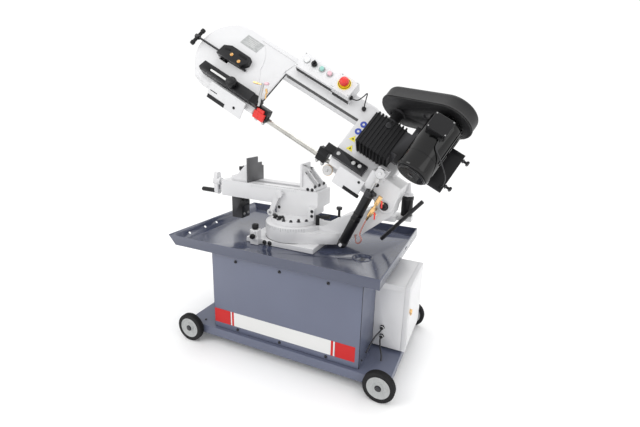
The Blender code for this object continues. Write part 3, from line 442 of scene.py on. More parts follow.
def dress_stand():
    dress("base_platform", "blue_grey_paint", 3, 4)
    dress("cabinet_shell", "blue_grey_paint", 1.0)
    dress("cabinet_front_panel", "blue_grey_paint", 0.7)
    dress("drip_tray", "tray_paint", 0.8)
    dress("control_box", "white_paint", 1.2)
    dress("control_box_door", "white_paint", 1.0)
    dress("door_latch", "brass", 0.6)
    dress("coolant_tank", "blue_grey_paint", 1.2)
    dress("bed_base", "white_casting", 3.0, 4)


def make_drain():
    """A dished strainer in the tray's hole, with its slots."""
    x, y, top = 262, -20, 436.4
    dish = [(0, 4), (0, 33), (2, 39.4), (9.5, 39.6), (9.8, 38.6), (3.5, 32), (1.5, 30), (1.5, 4)]
    bowl = turned(dish, (x, y, top - 10), (x, y, top), 48)
    show("drain_strainer", bowl, MACHINE, "stand", "tray_paint")
    slots = [
        block((x - 12, y + 8 * k - 1.4, top - 8.6), (x + 12, y + 8 * k + 1.4, top - 7.9))
        for k in range(-2, 3)
    ]
    show("drain_slots", merged(*slots), MACHINE, "stand", "shadow_gap", 0.3)
    edge = [(0, 40.5), (0, 43.5), (1.2, 43), (1.4, 41)]
    lip = turned(edge, (x, y, top - 0.1), (x, y, top + 1.3), 56, ring=True)
    show("drain_lip", lip, MACHINE, "stand", "tray_paint")


def make_wheels():
    """Ribbed tyres on light moulded rims, each with a capped hub."""
    for side, x in (("left", -438.0), ("right", 438.0)):
        for end, s in (("front", -1), ("rear", 1)):
            inner, outer = s * 263.5, s * 289.5
            tread = [(0, 45), (0, 57), (1.5, 60.5), (4, 62)]
            for k in range(5):
                tread += [(5 + 3.6 * k, 62.4), (7.2 + 3.6 * k, 62.4), (7.5 + 3.6 * k, 61.6),
                          (8.2 + 3.6 * k, 61.6)]
            tread += [(24, 61.6), (25.2, 60), (26, 57), (26, 45)]
            hub = Vector((x, 0, 62.5))
            start, finish_at = hub + Vector((0, inner, 0)), hub + Vector((0, outer, 0))
            tyre = turned(tread, start, finish_at, 64, ring=True)
            body = f"{end}_{side}_wheel"
            made = show(f"tyre_{end}_{side}", tyre, MACHINE, body, "tyre_rubber")
            dish = [(2, 8.6), (2, 44.9), (25.4, 44.9), (25.4, 41.5), (22, 39.5), (20.5, 37), (19.5, 31),
                    (20.5, 29.5), (21.5, 28), (20.2, 26), (19.6, 19), (24.5, 16.5), (26.5, 15.5),
                    (26.5, 8.6)]
            rim = turned(dish, start, finish_at, 64)
            ribs = []
            for k in range(6):
                a = pi / 3 * k
                near = hub + Vector((17 * cos(a), s * 283.5, 17 * sin(a)))
                far = hub + Vector((37 * cos(a), s * 283.5, 37 * sin(a)))
                ribs.append(rod(near, far, 1.6, 8))
            show(f"rim_{end}_{side}", merged(rim, *ribs), MACHINE, body, "rim_plastic")
            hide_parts(f"wheel_{end}_{side}")
            washer = rod(hub + Vector((0, s * 290, 0)), hub + Vector((0, s * 291.5, 0)), 13)
            nut = rod(hub + Vector((0, s * 291.5, 0)), hub + Vector((0, s * 295.8, 0)), 9.2, 6)
            show(f"axle_nut_{end}_{side}", merged(washer, nut), MACHINE, "stand", "black_paint")


def make_cabinet_details():
    y = PANEL_FRONT_Y
    screws = [bolt((x, y, z), (0, -1, 0), 4.6, 5) for x in (-210, -2, 208) for z in (92, 408)]
    show("panel_screws", merged(*screws), MACHINE, "stand", "black_paint")
    low, high, proud = 105.0, 170.0, y - 0.6
    band = [(-328, -246, "red_band"), (-238, -228, "red_band")]
    for number, (x0, x1, look) in enumerate(band):
        for side, (a, b) in enumerate(((x0, x1), (-x1, -x0))):
            show(f"band_red_{number}_{side}", block((a, proud - 0.2, low), (b, y + 0.2, high)),
                 MACHINE, "stand", look)
    middle = block((-244, proud, low + 0.4), (244, y + 0.2, high - 0.4))
    show("band_white", middle, MACHINE, "stand", "white_band")
    seam = [block((x - 0.8, -242.6, 80), (x + 0.8, -241.6, 431)) for x in (-331, 345)]
    show("cabinet_seams", merged(*seam), MACHINE, "stand", "shadow_gap")
    sides = []
    for x in (-332.0, 346.0):
        out = 1 if x > 0 else -1
        sides += [bolt((x, y2, 100), (out, 0, 0), 3.6, 3.5) for y2 in (-215, 215)]
    feet = [bolt((x, -225, 78), (0, 0, 1), 3.6, 4) for x in (-400, 400)]
    show("cabinet_bolts", merged(*sides, *feet), MACHINE, "stand", "black_paint")
    back = [block((x0, 242, z0), (x0 + 300, 243.2, z0 + 130)) for x0 in (-310, 20) for z0 in (110, 260)]
    louvres = [block((x, 243, z), (x + 120, 246, z + 4)) for x in (-220, 110) for z in range(300, 372, 12)]
    show("cabinet_back_panels", merged(*back), MACHINE, "stand", "blue_grey_paint", 0.5)
    show("cabinet_louvres", merged(*louvres), MACHINE, "stand", "blue_grey_paint", 0.8)


def make_box_details():
    lid = block((347, -81.2, 352), (464, -80, 375))
    show("box_top_lip", lid, MACHINE, "stand", "white_paint", 0.4)
    glands = []
    for z in (178, 138):
        nut = rod((385, -81, z), (385, -86, z), 11, 6)
        cap = turned([(0, 9.4), (4, 9.4), (7, 7.5), (7.6, 4)], (385, -85, z), (385, -92.2, z), 20)
        glands += [nut, cap]
    show("box_glands", merged(*glands), MACHINE, "stand", "black_plastic")
    hinges = [rod((466, 191.5, z), (466, 191.5, z + 40), 4.5) for z in (120, 305)]
    show("box_hinges", merged(*hinges), MACHINE, "stand", "steel")
    frame_line = block((485, -66, 104), (485.8, 176, 361))
    show("door_panel", frame_line, MACHINE, "box_door", "white_paint", 0.3)


# ---------------------------------------------------------------- vise


def dress_vise():
    dress("vise_bed", "white_casting", 3.5, 4)
    dress("fixed_jaw", "white_casting", 2.0, 3)
    dress("moving_jaw", "white_casting", 3.0, 3)
    dress("moving_jaw_plate", "dark_casting", 1.0)
    dress("jaw_clamp_lever", "black_paint", 1.5, 3)
    dress("lead_screw_crank", "white_casting", 2.5, 4)
    dress("bed_support_block", "black_paint", 2.0, 3)
    dress("work_stop_arm", "white_casting", 2.0, 3)


def make_vise_details():
    slot = block((-340, 60, 667.6), (-84, 63, 668.2))
    show("bed_slot_line", slot, MACHINE, "stand", "shadow_gap")
    grip = turned([(0, 9), (2, 11.6), (12, 12.2), (60, 11.8), (84, 11.4), (88, 8)],
                  (-609, 122, 587), (-697, 122, 587), 28)
    show("crank_grip", grip, MACHINE, "crank", "black_plastic")
    slot_mark = [block((-585.9, 120.5, 596), (-585.2, 124, 628)),
                 block((-608.8, 121, 598), (-608.1, 123.4, 626))]
    show("crank_marks", merged(*slot_mark), MACHINE, "crank", "shadow_gap")
    screw = [(-586 + 3.0 * k, 8.2 if k % 2 else 9.2) for k in range(24)]
    thread = turned([(x + 586, r) for x, r in screw], (-572, 122, 640), (-500, 122, 640), 20)
    show("lead_screw_thread", thread, MACHINE, "crank", "steel")
    ledge = []
    for x, y in ((-176, 62), (-128, 50)):
        ledge.append(bolt((x, y - 62, 548), (0, 0, 1), 6.5, 9))
    for k, a in enumerate((205, 228, 250, 268, 288, 308, 330)):
        spot = (TURRET.x + 96 * cos(radians(a)), TURRET.y + 96 * sin(radians(a)), 548)
        ledge.append(bolt(spot, (0, 0, 1), 5.6, 8 + 5 * (k % 2)))
    ledge += [bolt((x, 53.8, z), (0, -1, 0), 5, 5) for x, z in ((-186, 574), (-30, 572))]
    ledge += [bolt((2, 19.8, z), (0, -1, 0), 5, 6) for z in (566, 588)]
    show("turret_bolts", merged(*ledge), MACHINE, "stand", "black_paint")
    spots = ((-150, -34), (-124, -42))
    knobs = [knob((x, y, 553), (x, y, 565), 10) for x, y in spots]
    stems = [rod((x, y, 547), (x, y, 556), 4) for x, y in spots]
    show("turret_knobs", merged(*knobs, *stems), MACHINE, "stand", "black_plastic")
    jaw = [bolt((-9.8, y, z), (1, 0, 0), 5.5, 7) for y, z in ((66, 690), (110, 690), (160, 690))]
    jaw += [bolt((-40, 57.8, 676), (0, -1, 0), 5, 6), bolt((-18, 57.8, 676), (0, -1, 0), 5, 6)]
    jaw += [bolt((-66, y, 740), (1, 0, 0), 5, 6) for y in (84, 128)]
    show("fixed_jaw_bolts", merged(*jaw), MACHINE, "stand", "black_paint")
    face = prism([(60, 672), (188, 672), (188, 734), (176, 734), (176, 752), (142, 752), (142, 784),
                  (60, 784)], -80.6, -79.8, "x")
    show("fixed_jaw_plate", face, MACHINE, "stand", "steel", 0.3)
    scale = [block((-340 + 10 * k, 53.4, 655 if k % 5 else 650), (-339.4 + 10 * k, 54.2, 663))
             for k in range(25)]
    show("bed_scale", merged(*scale), MACHINE, "stand", "plate_grey")
    support = [bolt((-408 + 1, y, 500), (1, 0, 0), 5, 5) for y in (84, 116)]
    show("support_bolts", merged(*support), MACHINE, "stand", "steel")
    bar = rod((-220, 26, 550), (-220, 60, 550), 6.8)
    show("stop_rod", bar, MACHINE, "work_stop", "steel")


# ---------------------------------------------------------------- swivel arm


def dress_swivel():
    dress("swivel_arm", "white_casting", 3.0, 4)
    dress("swivel_lock_lever", "black_plastic", 1.5, 3)
    dress("swivel_stop_pin", "black_paint", 1.2, 2)
    dress("lift_cylinder", "black_paint", 1.5, 3)
    dress("lift_rod", "steel", 0.8)
    dress("spring_canister", "black_paint", 2.0, 3)
    dress("support_bar", "black_paint", 1.2)
    dress("coolant_taps", "brass", 1.2, 2)


def make_swivel_details():
    x, y = TURRET.x, TURRET.y
    seam = turned([(0, 133.2), (0.8, 133.2)], (x, y, 462), (x, y, 463), 64)
    show("arm_seam", seam, MACHINE, "swivel", "shadow_gap")
    marks = []
    for k in range(25):
        a = radians(196 + 5 * k)
        out, side = Vector((cos(a), sin(a), 0)), Vector((-sin(a), cos(a), 0))
        centre = Vector((x, y, 0)) + out * 132
        tall = 9 if k % 3 else 15
        mark = block((-0.7, -0.4, 526 - tall), (0.7, 0.9, 527))
        turn = Matrix.Translation(centre) @ Matrix((side, -out, (0, 0, 1))).transposed().to_4x4()
        bmesh.ops.transform(mark, verts=mark.verts, matrix=turn)
        marks.append(mark)
    show("degree_scale", merged(*marks), MACHINE, "swivel", "plate_grey")
    clamp = [knob((-215 + 0, -96, 507), (-215, -96, 530), 15), rod((-215, -96, 500), (-215, -96, 510), 6)]
    clamp.append(knob((-215, -112, 478), (-215, -128, 478), 12))
    show("base_clamp_knobs", merged(*clamp), MACHINE, "stand", "black_plastic")
    feet = [bolt((bx, -90, 449), (0, -1, 0), 7, 8) for bx in (-172, -146)]
    feet += [bolt((bx, by, 461), (0, 0, 1), 6, 6) for bx, by in ((-252, -72), (-252, 168))]
    show("base_bolts", merged(*feet), MACHINE, "stand", "black_paint")
    lug = [block((-206, -116, 470), (-224, -110, 500)), block((-212, -118, 462), (-190, -108, 472))]
    show("base_stop_lug", merged(*lug), MACHINE, "stand", "white_casting", 1.0)
    foot, eye = Vector((172, -28, 487)), Vector((318, -28, 800))
    along = (eye - foot).normalized()
    rings = [turned([(0, 19.6), (0, 20.3), (0.5, 21.2), (11, 21.2), (11.5, 20.3), (11.5, 19.6)],
                    foot + along * d, foot + along * (d + 11.5), 36, ring=True)
             for d in (0, 240, 252)]
    valve = rod(foot + along * 250 + Vector((17, -4, 0)), foot + along * 250 + Vector((30, -22, 6)), 8)
    show("cylinder_collars", merged(*rings, valve), MACHINE, "cylinder", "black_paint")
    clips = [turned([(0, 19.6), (0, 20.4), (0.5, 21.3), (9.5, 21.3), (10, 20.4), (10, 19.6)],
                    foot + along * d, foot + along * (d + 10), 36, ring=True)
             for d in (120, 146)]
    show("cylinder_clips", merged(*clips), MACHINE, "cylinder", "motor_paint")
    eye_ring = turned([(0, 19.2), (1, 20.4), (15, 20.4), (16, 19.2)], eye + Vector((0, -8.2, 0)),
                      eye + Vector((0, 7.8, 0)), 32)
    neck = rod(eye - along * 40, eye - along * 20, 10.5, 6)
    show("rod_eye_rim", eye_ring, MACHINE, "piston_rod", "chrome_rod")
    show("rod_eye_neck", neck, MACHINE, "piston_rod", "steel")
    low, high = Vector((282, -60, 616)), Vector((333, -60, 715))
    handles, unions = [], []
    for share in (0.35, 0.85):
        tap = low.lerp(high, share)
        handles.append(block(tap + Vector((14, -12, -26)), tap + Vector((20, -6, 4))))
        unions += [rod(tap - (high - low).normalized() * 14, tap - (high - low).normalized() * 6, 8.5, 6),
                   rod(tap + (high - low).normalized() * 6, tap + (high - low).normalized() * 14, 8.5, 6)]
    show("tap_handles", merged(*handles), MACHINE, "swivel", "red_plastic", 2.0)
    show("tap_unions", merged(*unions), MACHINE, "swivel", "brass")
    profile = [(0, 22), (4, 24), (10, 24), (14, 15), (46, 9), (56, 8)]
    cone = turned(profile, (393, 160, 682), (393, 160, 738), 32)
    show("canister_cone", cone, MACHINE, "swivel", "white_plastic")
    pin = bolt((337, -12, 667), (0, -1, 0), 12, 9)
    show("pivot_bolt", pin, MACHINE, "swivel", "black_paint")


# ---------------------------------------------------------------- bow


def casting_outline(left):
    return [
        (left, 8),
        (-1060, 8),
        *arc(HOUSING, 172, 222, 90, 28),
        (-700, 350),
        (-275, 344),
        (-262, 338),
        *arc((-190, 190), 148, 90, 0, 18),
        (-40, 75),
        (-95, 14),
        (-296, 14),
        (THROAT_X[1] + 2, 60),
        (THROAT_X[1], 251),
        (left, 251),
    ]


def make_bow_frame():
    """The casting again, with its front edges rounded and its relief."""
    front = prism(casting_outline(THROAT_X[0]), -11, 0)
    rim = [edge for edge in front.edges if all(abs(v.co.z) < 0.01 for v in edge.verts)]
    bmesh.ops.bevel(front, geom=rim, offset=9, segments=5, affect="EDGES", profile=0.5)
    made = show("bow_casting", front, CASTING, "bow", "white_casting")
    pocket = 122
    body = prism(casting_outline(-868), -78, -10.5)
    relief = [*arc(HOUSING, 163, 8, 64, 16), (-700, 322), (-722, 270), (-722, 130), (-760, 112)]
    cuts = [
        turned([(0, pocket), (76, pocket)], (*DRIVE, -84), (*DRIVE, -8), 64),
        prism(stadium(IDLER, (IDLER[0] - 12, IDLER[1]), pocket, 24), -83, -8),
        block((IDLER[0], 257, -84), (DRIVE[0], 334, -13)),
        block((IDLER[0], 22, -85), (-863, 56, -13)),
        block((-330, 18, -85), (DRIVE[0], 56, -13)),
        block((IDLER[0] - 24, 137, -20), (IDLER[0] + 24, 163, 5)),
        turned([(0, 18), (25, 18)], (*DRIVE, -20), (*DRIVE, 5), 32),
        prism(relief, -2.2, 4),
    ]
    carve(made, joins=[body], cuts=cuts, space=CASTING)
    box = prism([(-120, 97), (20, 97), (34, 10), *arc((0, 0), 34, 0, -140, 16), (-120, 24)], 0, 128, "y")
    box_edges = [edge for edge in box.edges if edge.calc_face_angle(0) > radians(50)]
    bmesh.ops.bevel(box, geom=box_edges, offset=6, segments=4, affect="EDGES", profile=0.5)
    holes = [block((-60, 20, -60), (60, 108, 46)),
             turned([(0, 14.3), (150, 14.3)], (0, -10, 0), (0, 140, 0), 32)]
    carve(made, joins=[box], cuts=holes, space=BOW)
    eye = Matrix.Rotation(-REST_LIFT, 3, "Y") @ (Vector((318, -28, 800)) - PIVOT)
    guard = block((-244, -4, -43), (-118, 1, 36))
    bmesh.ops.bevel(guard, geom=guard.edges[:], offset=1.5, segments=2, affect="EDGES")
    lug = [turned([(0, 6), (74, 6)], eye + Vector((0, -14, 0)), eye + Vector((0, 60, 0)), 20),
           block(eye + Vector((-22, 12, -30)), eye + Vector((22, 50, 20))), guard]
    carve(made, joins=lug, space=BOW)
    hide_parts("bow_frame")


def dress_bow():
    for node in ("tension_slide", "left_guide_arm", "right_guide_arm", "motor_mount"):
        dress(node, "black_paint", 1.5, 3)
    dress("tension_handle", "black_paint", 2.5, 3)
    dress("rear_wheel_cover", "white_paint", 0.8)
    dress("drive_wheel", "steel", 1.0)
    dress("idler_wheel", "steel", 1.0)
    dress("worm_pulley", "steel", 1.0)
    dress("motor_pulley", "steel", 1.0)
    dress("drive_belt", "belt_rubber", 0.8)
    dress("belt_cover_base", "cover_black", 0.8)
    dress("chip_brush", "steel", 1.0)
    dress("worm_gearbox", "gearbox_casting", 1.6, 3)
    dress("left_blade_guard", "white_paint", 0.8)
    dress("control_panel", "white_plastic", 3.0, 4)
    dress("stop_switch_box", "white_plastic", 3.0, 4)
    dress("guide_arm_knob", "black_plastic", 2.0, 3)
    dress("saw_blade", "blade_steel", 0.2, 1)
    dress("selector_switch", "black_plastic", 1.0)
    dress("start_button", "green_plastic", 1.5, 3)
    dress("stop_button", "pink_plastic", 1.5, 3)
    dress("emergency_stop", "red_plastic", 3.0, 4)


def make_blade_teeth():
    teeth = bmesh.new()
    pitch = 6.35
    for k in range(78):
        x = -735 + pitch * k
        corners = [(x, -3), (x + pitch * 0.94, -3), (x + pitch * 0.12, -6.1)]
        set_out = (0.5, -0.5, 0)[k % 3]
        near = [teeth.verts.new((a, BLADE_Y - 0.5 + set_out * (u < -5), u + 0.9)) for a, u in corners]
        far = [teeth.verts.new((a, BLADE_Y + 0.5 + set_out * (u < -5), u + 0.9)) for a, u in corners]
        teeth.faces.new(near[::-1])
        teeth.faces.new(far)
        for i in range(3):
            j = (i + 1) % 3
            teeth.faces.new((near[i], near[j], far[j], far[i]))
    bmesh.ops.recalc_face_normals(teeth, faces=teeth.faces)
    show("blade_teeth", teeth, BOW, "bow", "blade_steel")


def make_housing_details():
    plate = prism([(-996, 260), (-988, 314), (-888, 311), (-895, 259)], 0.05, 1.1)
    show("name_plate", plate, CASTING, "bow", "plate_grey", 0.4)
    lines = [block((-975 + 3 * k, 302 - 8 * k, 1.0), (-918, 303.6 - 8 * k, 1.5)) for k in range(5)]
    show("name_plate_fields", merged(*lines), CASTING, "bow", "white_band")
    slots = [prism(stadium((-1006, 185), (-985, 190), 4), 30, 31.5),
             prism(stadium((-930, 196), (-893, 196), 5), 30, 32)]
    show("slide_marks", merged(*slots), CASTING, "tension_block", "gearbox_casting", 0.5)
    bolts = [bolt((x, d, 30), (0, 0, 1), 5.5, 5) for x, d in ((-962, 176), (-912, 166))]
    show("slide_bolts", merged(*bolts), CASTING, "tension_block", "brass")
    rails = [block((-1022, 197, 0.3), (-1000, 206, 18)), block((-905, 150, 0.3), (-872, 160, 14))]
    show("slide_rails", merged(*rails), CASTING, "bow", "black_paint", 1.5)
    grip = []
    for end in (118, 212):
        grip.append(turned([(0, 6), (2, 9.5), (16, 10.5), (20, 7)], (-1170, end, 16),
                           (-1170, end + (20 if end < 165 else -20), 16), 24))
    show("tension_grips", merged(*grip), CASTING, "tension_grip", "black_plastic")
    throat = [block((-713, 250.4, -30), (-312, 251.2, -3)), block((-713.2, 60, -10.8), (-712.4, 250, -2.5))]
    show("throat_shadow_edge", merged(*throat), CASTING, "bow", "black_plastic")
    discs = [rod((x, d, 0.05), (x, d, 0.8), 15, 36) for x, d in ((-277, 243), (-278, 204))]
    show("blue_stickers", merged(*discs), CASTING, "bow", "sticker_blue")
    rings = [rod((x, d, 0.8), (x, d, 1.1), 5.5, 30) for x, d in ((-277, 243), (-278, 204))]
    show("sticker_centres", merged(*rings), CASTING, "bow", "white_band")
    signs, inner = [], []
    for x, d in ((-276, 163), (-261, 121)):
        corners = [(x + 18 * cos(radians(a)), d + 18 * sin(radians(a))) for a in (90, 210, 330)]
        signs.append(prism(corners, 0.05, 0.8))
        small = [(x + 6 * cos(radians(a)), d + 6 * sin(radians(a))) for a in (90, 210, 330)]
        inner.append(prism(small, 0.8, 1.1))
    show("yellow_stickers", merged(*signs), CASTING, "bow", "sticker_yellow", 0.2)
    show("sticker_marks", merged(*inner), CASTING, "bow", "black_plastic")


def make_guide_details():
    slot = prism(stadium((-974, 58), (-880, 58), 4.6), 40, 46)
    show("guide_slot_bright", slot, CASTING, "blade_guide", "white_band")
    grip = knob((-850, 58, 49), (-850, 58, 67), 25.5, 9)
    cap = turned([(0, 17), (2, 17), (4, 14)], (-850, 58, 66), (-850, 58, 70), 36)
    show("guide_knob_grip", merged(grip, cap), CASTING, "guide_knob", "black_plastic")
    label = block((-950, -5.9, -44), (-850, -5.1, -26))
    slit = block((-945, -5.6, -8), (-905, -5.0, -4))
    screw = bolt((-800, -5, -16), (0, -1, 0), 4.5, 4)
    show("guard_label", merged(label, slit, screw), BOW, "blade_guide", "black_paint", 0.4)
    red = [block((-708, 6, -4), (-652, 17, 30)), block((-700, 8, 30), (-662, 16, 44))]
    red.append(rod((-690, 4, 10), (-690, 19, 10), 11))
    show("guide_red_block", merged(*red), BOW, "blade_guide", "red_plastic", 1.5)
    rods = [rod((-715, 2, 150), (-696, 2, 52), 6.5, 24)]
    show("coolant_rod", merged(*rods), BOW, "blade_guide", "steel")
    brass = [rod((-762, 6, 130), (-738, 4, 136), 5, 10), rod((-740, 4, 136), (-716, 2, 142), 3.5, 10),
             rod((-692, 2, 136), (-680, 2, 120), 5, 10), rod((-684, 2, 118), (-676, 2, 96), 3.5, 12)]
    show("coolant_fittings", merged(*brass), BOW, "blade_guide", "brass")
    show("coolant_cap", rod((-706, 2, 152), (-690, 2, 160), 6.5, 20), BOW, "blade_guide", "pink_plastic")
    bits = [bolt((x, d, 24), (0, 0, 1), 5.5, 5) for x, d in ((-205, 69), (-176, 72), (-280, 68))]
    show("right_guide_bolts", merged(*bits), CASTING, "bow", "steel")
    roller = [(0, 6), (1, 8.6), (8, 8.6), (9, 5), (14, 5)]
    rollers = [turned(roller, (x, 32, -6.5), (x, 32, -20.5), 24) for x in (-356, -328)]
    show("right_guide_rollers", merged(*rollers), BOW, "bow", "steel")
    left = [turned([(0, 6), (1, 8.6), (8, 8.6), (9, 5), (12, 5)], (x, 32, -6.5), (x, 32, -18.5), 24)
            for x in (-699, -660)]
    show("left_guide_rollers", merged(*left), BOW, "blade_guide", "steel")
    label = block((-190, -5.0, -40), (-111, -4.2, -25))
    show("right_guard_label", label, BOW, "bow", "gearbox_casting", 0.3)
    studs = [bolt((-71, -0.2, 54), (0, -1, 0), 6, 4), bolt((-140, -4.2, 22), (0, -1, 0), 4, 3)]
    show("right_guard_bolts", merged(*studs), BOW, "bow", "black_paint")
    bristles = []
    for k in range(36):
        a = 2 * pi * k / 36
        out = Vector((cos(a), 0, sin(a)))
        centre = Vector((-284, 6, -14))
        bristles.append(rod(centre + out * 18, centre + out * 24.5, 1.1, 6))
    show("brush_bristles", merged(*bristles), BOW, "brush", "brass")


def make_gearbox_details():
    x, n = WORM_AXIS
    ring = [(0, 25), (1, 27.5), (9, 27.5), (10, 25)]
    rings = [turned(ring, (x, d, n), (x, d + 10, n), 36) for d in (276, 326)]
    show("worm_tube_rings", merged(*rings), CASTING, "bow", "gearbox_casting")
    ribs = [block((-228 + 16 * k, 125, 96), (-224 + 16 * k, 278, 109)) for k in range(9)]
    show("gearbox_front_ribs", merged(*ribs), CASTING, "bow", "gearbox_casting", 1.6)
    cap = turned([(0, 10), (1, 12), (6, 12), (8, 8)], (-162, 252, 105), (-162, 252, 113), 28)
    show("gearbox_cap", cap, CASTING, "bow", "black_paint")


def make_motor():
    """Barrel with a rounded fan cowl, slotted at its end, and a lidded terminal box."""
    x, n = MOTOR_AXIS
    start, end = (x, 97, n), (x, 334, n)
    barrel = [(0, 53), (0.5, 58), (3, 62.5), (8, 65.4), (14, 66), (62, 66), (62.5, 65.2), (65, 65.2),
              (65.5, 66), (196, 66), (198, 67), (226, 67), (232, 62), (237, 50), (237, 12), (225, 11.6)]
    made = show("motor_barrel", turned(barrel, start, end, 72), CASTING, "bow", "motor_paint", sharp=50)
    foot = block((x - 56, 150, 126.3), (x + 56, 270, n - 40))
    show("motor_foot", foot, CASTING, "bow", "motor_paint", 2.0)
    cover = [turned([(0, 52.5), (1.5, 52.5), (1.5, 50), (0.2, 49)], (x, 96.2, n), (x, 98, n), 60)]
    slats = []
    for k in range(-5, 6):
        offset = 9.0 * k
        half = (50.0**2 - offset**2) ** 0.5
        slats.append(block((x - half, 92.6, n + offset - 2.4), (x + half, 96.9, n + offset + 2.4)))
    edge = [(0, 50), (0.6, 54.5), (4, 55.5), (5, 55.5), (5, 49), (0.6, 48)]
    rim = turned(edge, (x, 92.2, n), (x, 97.4, n), 60, ring=True)
    hub = turned([(0, 8), (1, 12), (5, 12)], (x, 91.6, n), (x, 97, n), 28)
    show("fan_dark", merged(*cover), CASTING, "bow", "shadow_gap")
    show("fan_grille", merged(*slats, rim, hub), CASTING, "bow", "motor_paint", 0.9)
    fins = []
    for k in range(10):
        a = radians(-8 + 12.5 * k)
        out = Vector((cos(a), 0, sin(a)))
        if 40 < -8 + 12.5 * k < 112:
            continue
        centre = Vector((x, 0, n)) + out * 66
        fin = block((-1.2, 170, -2), (1.2, 320, 2.5))
        sideways = out.cross(Vector((0, 1, 0)))
        facing = Matrix((sideways, (0, 1, 0), out)).transposed().to_4x4()
        turn = Matrix.Translation(centre) @ facing
        bmesh.ops.transform(fin, verts=fin.verts, matrix=turn)
        fins.append(fin)
    show("motor_fins", merged(*fins), CASTING, "bow", "motor_paint")
    box = block((x - 44, 236, n + 48), (x + 30, 300, n + 86))
    show("terminal_box", box, CASTING, "bow", "black_plastic", 2.5)
    lid = block((x - 46, 234, n + 87), (x + 32, 302, n + 100))
    show("terminal_lid", lid, CASTING, "bow", "black_plastic", 4.0)
    screws = [bolt((x + sx, d, n + 99), (0, 0, 1), 2.4, 2.2) for sx in (-40, 26) for d in (240, 296)]
    show("terminal_screws", merged(*screws), CASTING, "bow", "steel")
    nut = [(0, 10), (5, 10), (5.2, 8.4), (9, 8.4), (11.5, 5)]
    gland = turned(nut, (x + 17, 237, n + 75), (x + 17, 225.8, n + 75), 24)
    show("terminal_gland", gland, CASTING, "bow", "black_plastic")
    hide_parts("motor")
    nuts = [rod((151, d, 122), (157, d, 122), 9, 6) for d in (160, 282)]
    show("mount_nuts", merged(*nuts), CASTING, "bow", "black_paint")


def make_belt_cover():
    outline = stadium(WORM_AXIS, MOTOR_AXIS, 90, 26)
    shell = prism(outline, 344.3, 402, "y")
    rim = [edge for edge in shell.edges if all(abs(v.co.y - 402) < 0.01 for v in edge.verts)]
    bmesh.ops.bevel(shell, geom=rim, offset=15, segments=7, affect="EDGES", profile=0.5)
    made = show("belt_cover_shell", shell, CASTING, "bow", "cover_black")
    carve(made, cuts=[prism(stadium(WORM_AXIS, MOTOR_AXIS, 85, 26), 340, 392, "y")], space=CASTING)
    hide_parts("belt_cover")
    lip = prism(stadium(WORM_AXIS, MOTOR_AXIS, 92.5, 26), 345, 350, "y")
    flange = show("belt_cover_lip", lip, CASTING, "bow", "cover_black")
    carve(flange, cuts=[prism(stadium(WORM_AXIS, MOTOR_AXIS, 88, 26), 340, 360, "y")], space=CASTING)
    knobs = [turned([(0, 11), (1, 13), (10, 13), (13, 10), (14, 6)], (x, 402, n), (x, 416, n), 28)
             for x, n in ((-110, 112), (0, 183))]
    show("belt_cover_knobs", merged(*knobs), CASTING, "bow", "black_plastic")
    screws = [bolt((x, 340, n), (0, -1, 0), 5, 4) for x, n in ((-60, 150), (-40, 120), (-205, 30))]
    show("belt_cover_screws", merged(*screws), CASTING, "bow", "black_paint")


def make_control_details():
    strip = block((-680, 289.2, 4), (-478, 290.2, 26))
    more = block((-474, 281.2, 4), (-388, 282.2, 30))
    show("panel_dark_strip", merged(strip, more), CASTING, "bow", "black_plastic")
    bezels = []
    for x in (-650, -609, -567, -525):
        edge = [(0, 15), (1.5, 15.2), (3, 14), (3, 10.6), (0, 10.4)]
        bezels.append(turned(edge, (x, 338, 42), (x, 338, 45), 36, ring=True))
    show("button_bezels", merged(*bezels), CASTING, "bow", "plate_grey")
    lens = turned([(0, 12.3), (4, 12.3), (7, 10), (8.6, 6), (9, 2)], (-650, 338, 44), (-650, 338, 53), 36)
    show("lamp_lens", lens, CASTING, "bow", "lamp_lens")
    pointer = merged(block((-612.5, 328, 56), (-605.5, 348, 66)),
                     turned([(0, 13), (8, 13), (12, 11)], (-609, 338, 46), (-609, 338, 58), 32))
    show("selector_grip", pointer, CASTING, "selector", "black_plastic", 1.5)
    caps = (("start", -567, "green_plastic", 46), ("stop", -525, "pink_plastic", 46))
    for name, x, look, low in caps:
        cap = turned([(0, 10.2), (7, 10.2), (9, 9), (9.6, 4)], (x, 338, low), (x, 338, low + 9.6), 36)
        show(f"{name}_cap", cap, CASTING, name, look)
    plate = [(0, 29.2), (3.5, 29.2), (4.5, 28.2), (4.5, 20.5)]
    disc = turned(plate, (-436, 326, 61.5), (-436, 326, 66), 48)
    show("stop_disc", disc, CASTING, "bow", "yellow_plastic")
    line = [(0, 26.2), (0.6, 26.2), (0.6, 23.6), (0, 23.6)]
    ring = turned(line, (-436, 326, 65.8), (-436, 326, 66.4), 48, ring=True)
    show("stop_disc_ring", ring, CASTING, "bow", "black_plastic")
    head = [(0, 19.5), (2, 20.5), (11, 20.5), (16, 17.5), (18.5, 12), (19.5, 5)]
    dome = turned(head, (-436, 326, 74), (-436, 326, 93.5), 48)
    show("stop_dome", dome, CASTING, "emergency", "red_plastic")
    screws = [bolt((x, d, z), (0, 0, 1), 2.2, 1.4)
              for x, d, z in ((-675, 297, 42), (-485, 297, 42), (-675, 365, 42), (-485, 365, 42),
                              (-470, 289, 62), (-392, 289, 62), (-470, 360, 62), (-392, 360, 62))]
    show("panel_screws_small", merged(*screws), CASTING, "bow", "steel")
    gland = turned([(0, 10.5), (5, 10.5), (6, 8.5), (9, 7)], (-386, 300, 36), (-379.9, 300, 36), 24)
    clip = turned([(0, 9), (2, 10), (9, 10), (11, 7)], (-318, 302, 0), (-318, 302, 11), 24)
    show("switch_gland", merged(gland, clip), CASTING, "bow", "black_plastic")


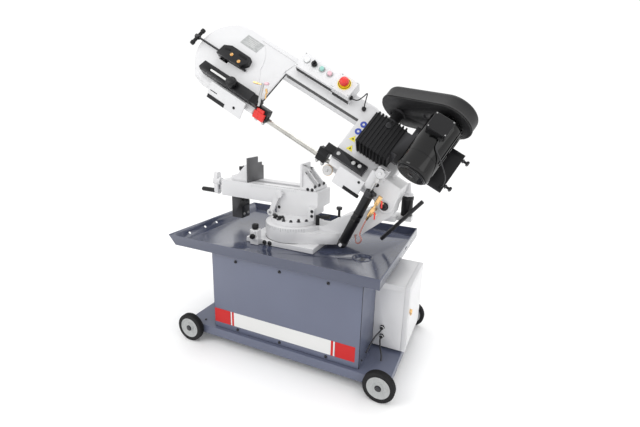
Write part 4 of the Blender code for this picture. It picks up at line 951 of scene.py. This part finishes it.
def make_rear_details():
    knobs = [knob((x, d, -81.4), (x, d, -94), 13) for x, d in ((-1050, 90), (-240, 60), (-640, 300))]
    show("cover_knobs", merged(*knobs), CASTING, "wheel_cover", "black_plastic")
    outline = [
        *arc(HOUSING, 150, 222, 90, 20),
        (-700, 330),
        (-500, 327),
        (-500, 272),
        (-830, 272),
        (-860, 84),
        (-1096, 84),
    ]
    show("cover_relief", prism(outline, -82.4, -81.2), CASTING, "wheel_cover", "white_paint", 0.8)


# ---------------------------------------------------------------- floor and light


def make_stage():
    bpy.ops.mesh.primitive_plane_add(size=30, location=(0, 0, -0.0005))
    floor = bpy.context.object
    floor.name = "studio_floor"
    floor.data.materials.append(finish("floor", (0.985, 0.985, 0.985), 0.9, vary=0.003, grain=0.0))
    world = bpy.data.worlds.new("studio")
    world.use_nodes = True
    world.node_tree.nodes["Background"].inputs["Color"].default_value = (1, 1, 1, 1)
    world.node_tree.nodes["Background"].inputs["Strength"].default_value = 1.05
    bpy.context.scene.world = world
    bpy.context.scene.view_settings.view_transform = "Standard"
    lamps = (
        ("key", (-1.8, -2.4, 2.9), 26, 1.6),
        ("fill", (3.0, -2.0, 1.6), 12, 2.0),
        ("top", (0.3, 0.8, 3.4), 26, 2.4),
    )
    for name, place, power, size in lamps:
        light = bpy.data.lights.new(name, "AREA")
        light.energy = power
        light.size = size
        lamp = bpy.data.objects.new(name, light)
        lamp.location = place
        aim = Vector((0, 0, 0.7)) - Vector(place)
        lamp.rotation_euler = aim.to_track_quat("-Z", "Y").to_euler()
        bpy.context.scene.collection.objects.link(lamp)


def main():
    make_camera()
    make_cords()
    dress_stand()
    make_drain()
    make_wheels()
    make_cabinet_details()
    make_box_details()
    dress_vise()
    make_vise_details()
    dress_swivel()
    make_swivel_details()
    make_bow_frame()
    dress_bow()
    make_blade_teeth()
    make_housing_details()
    make_guide_details()
    make_gearbox_details()
    make_motor()
    make_belt_cover()
    make_control_details()
    make_rear_details()
    make_stage()


main()
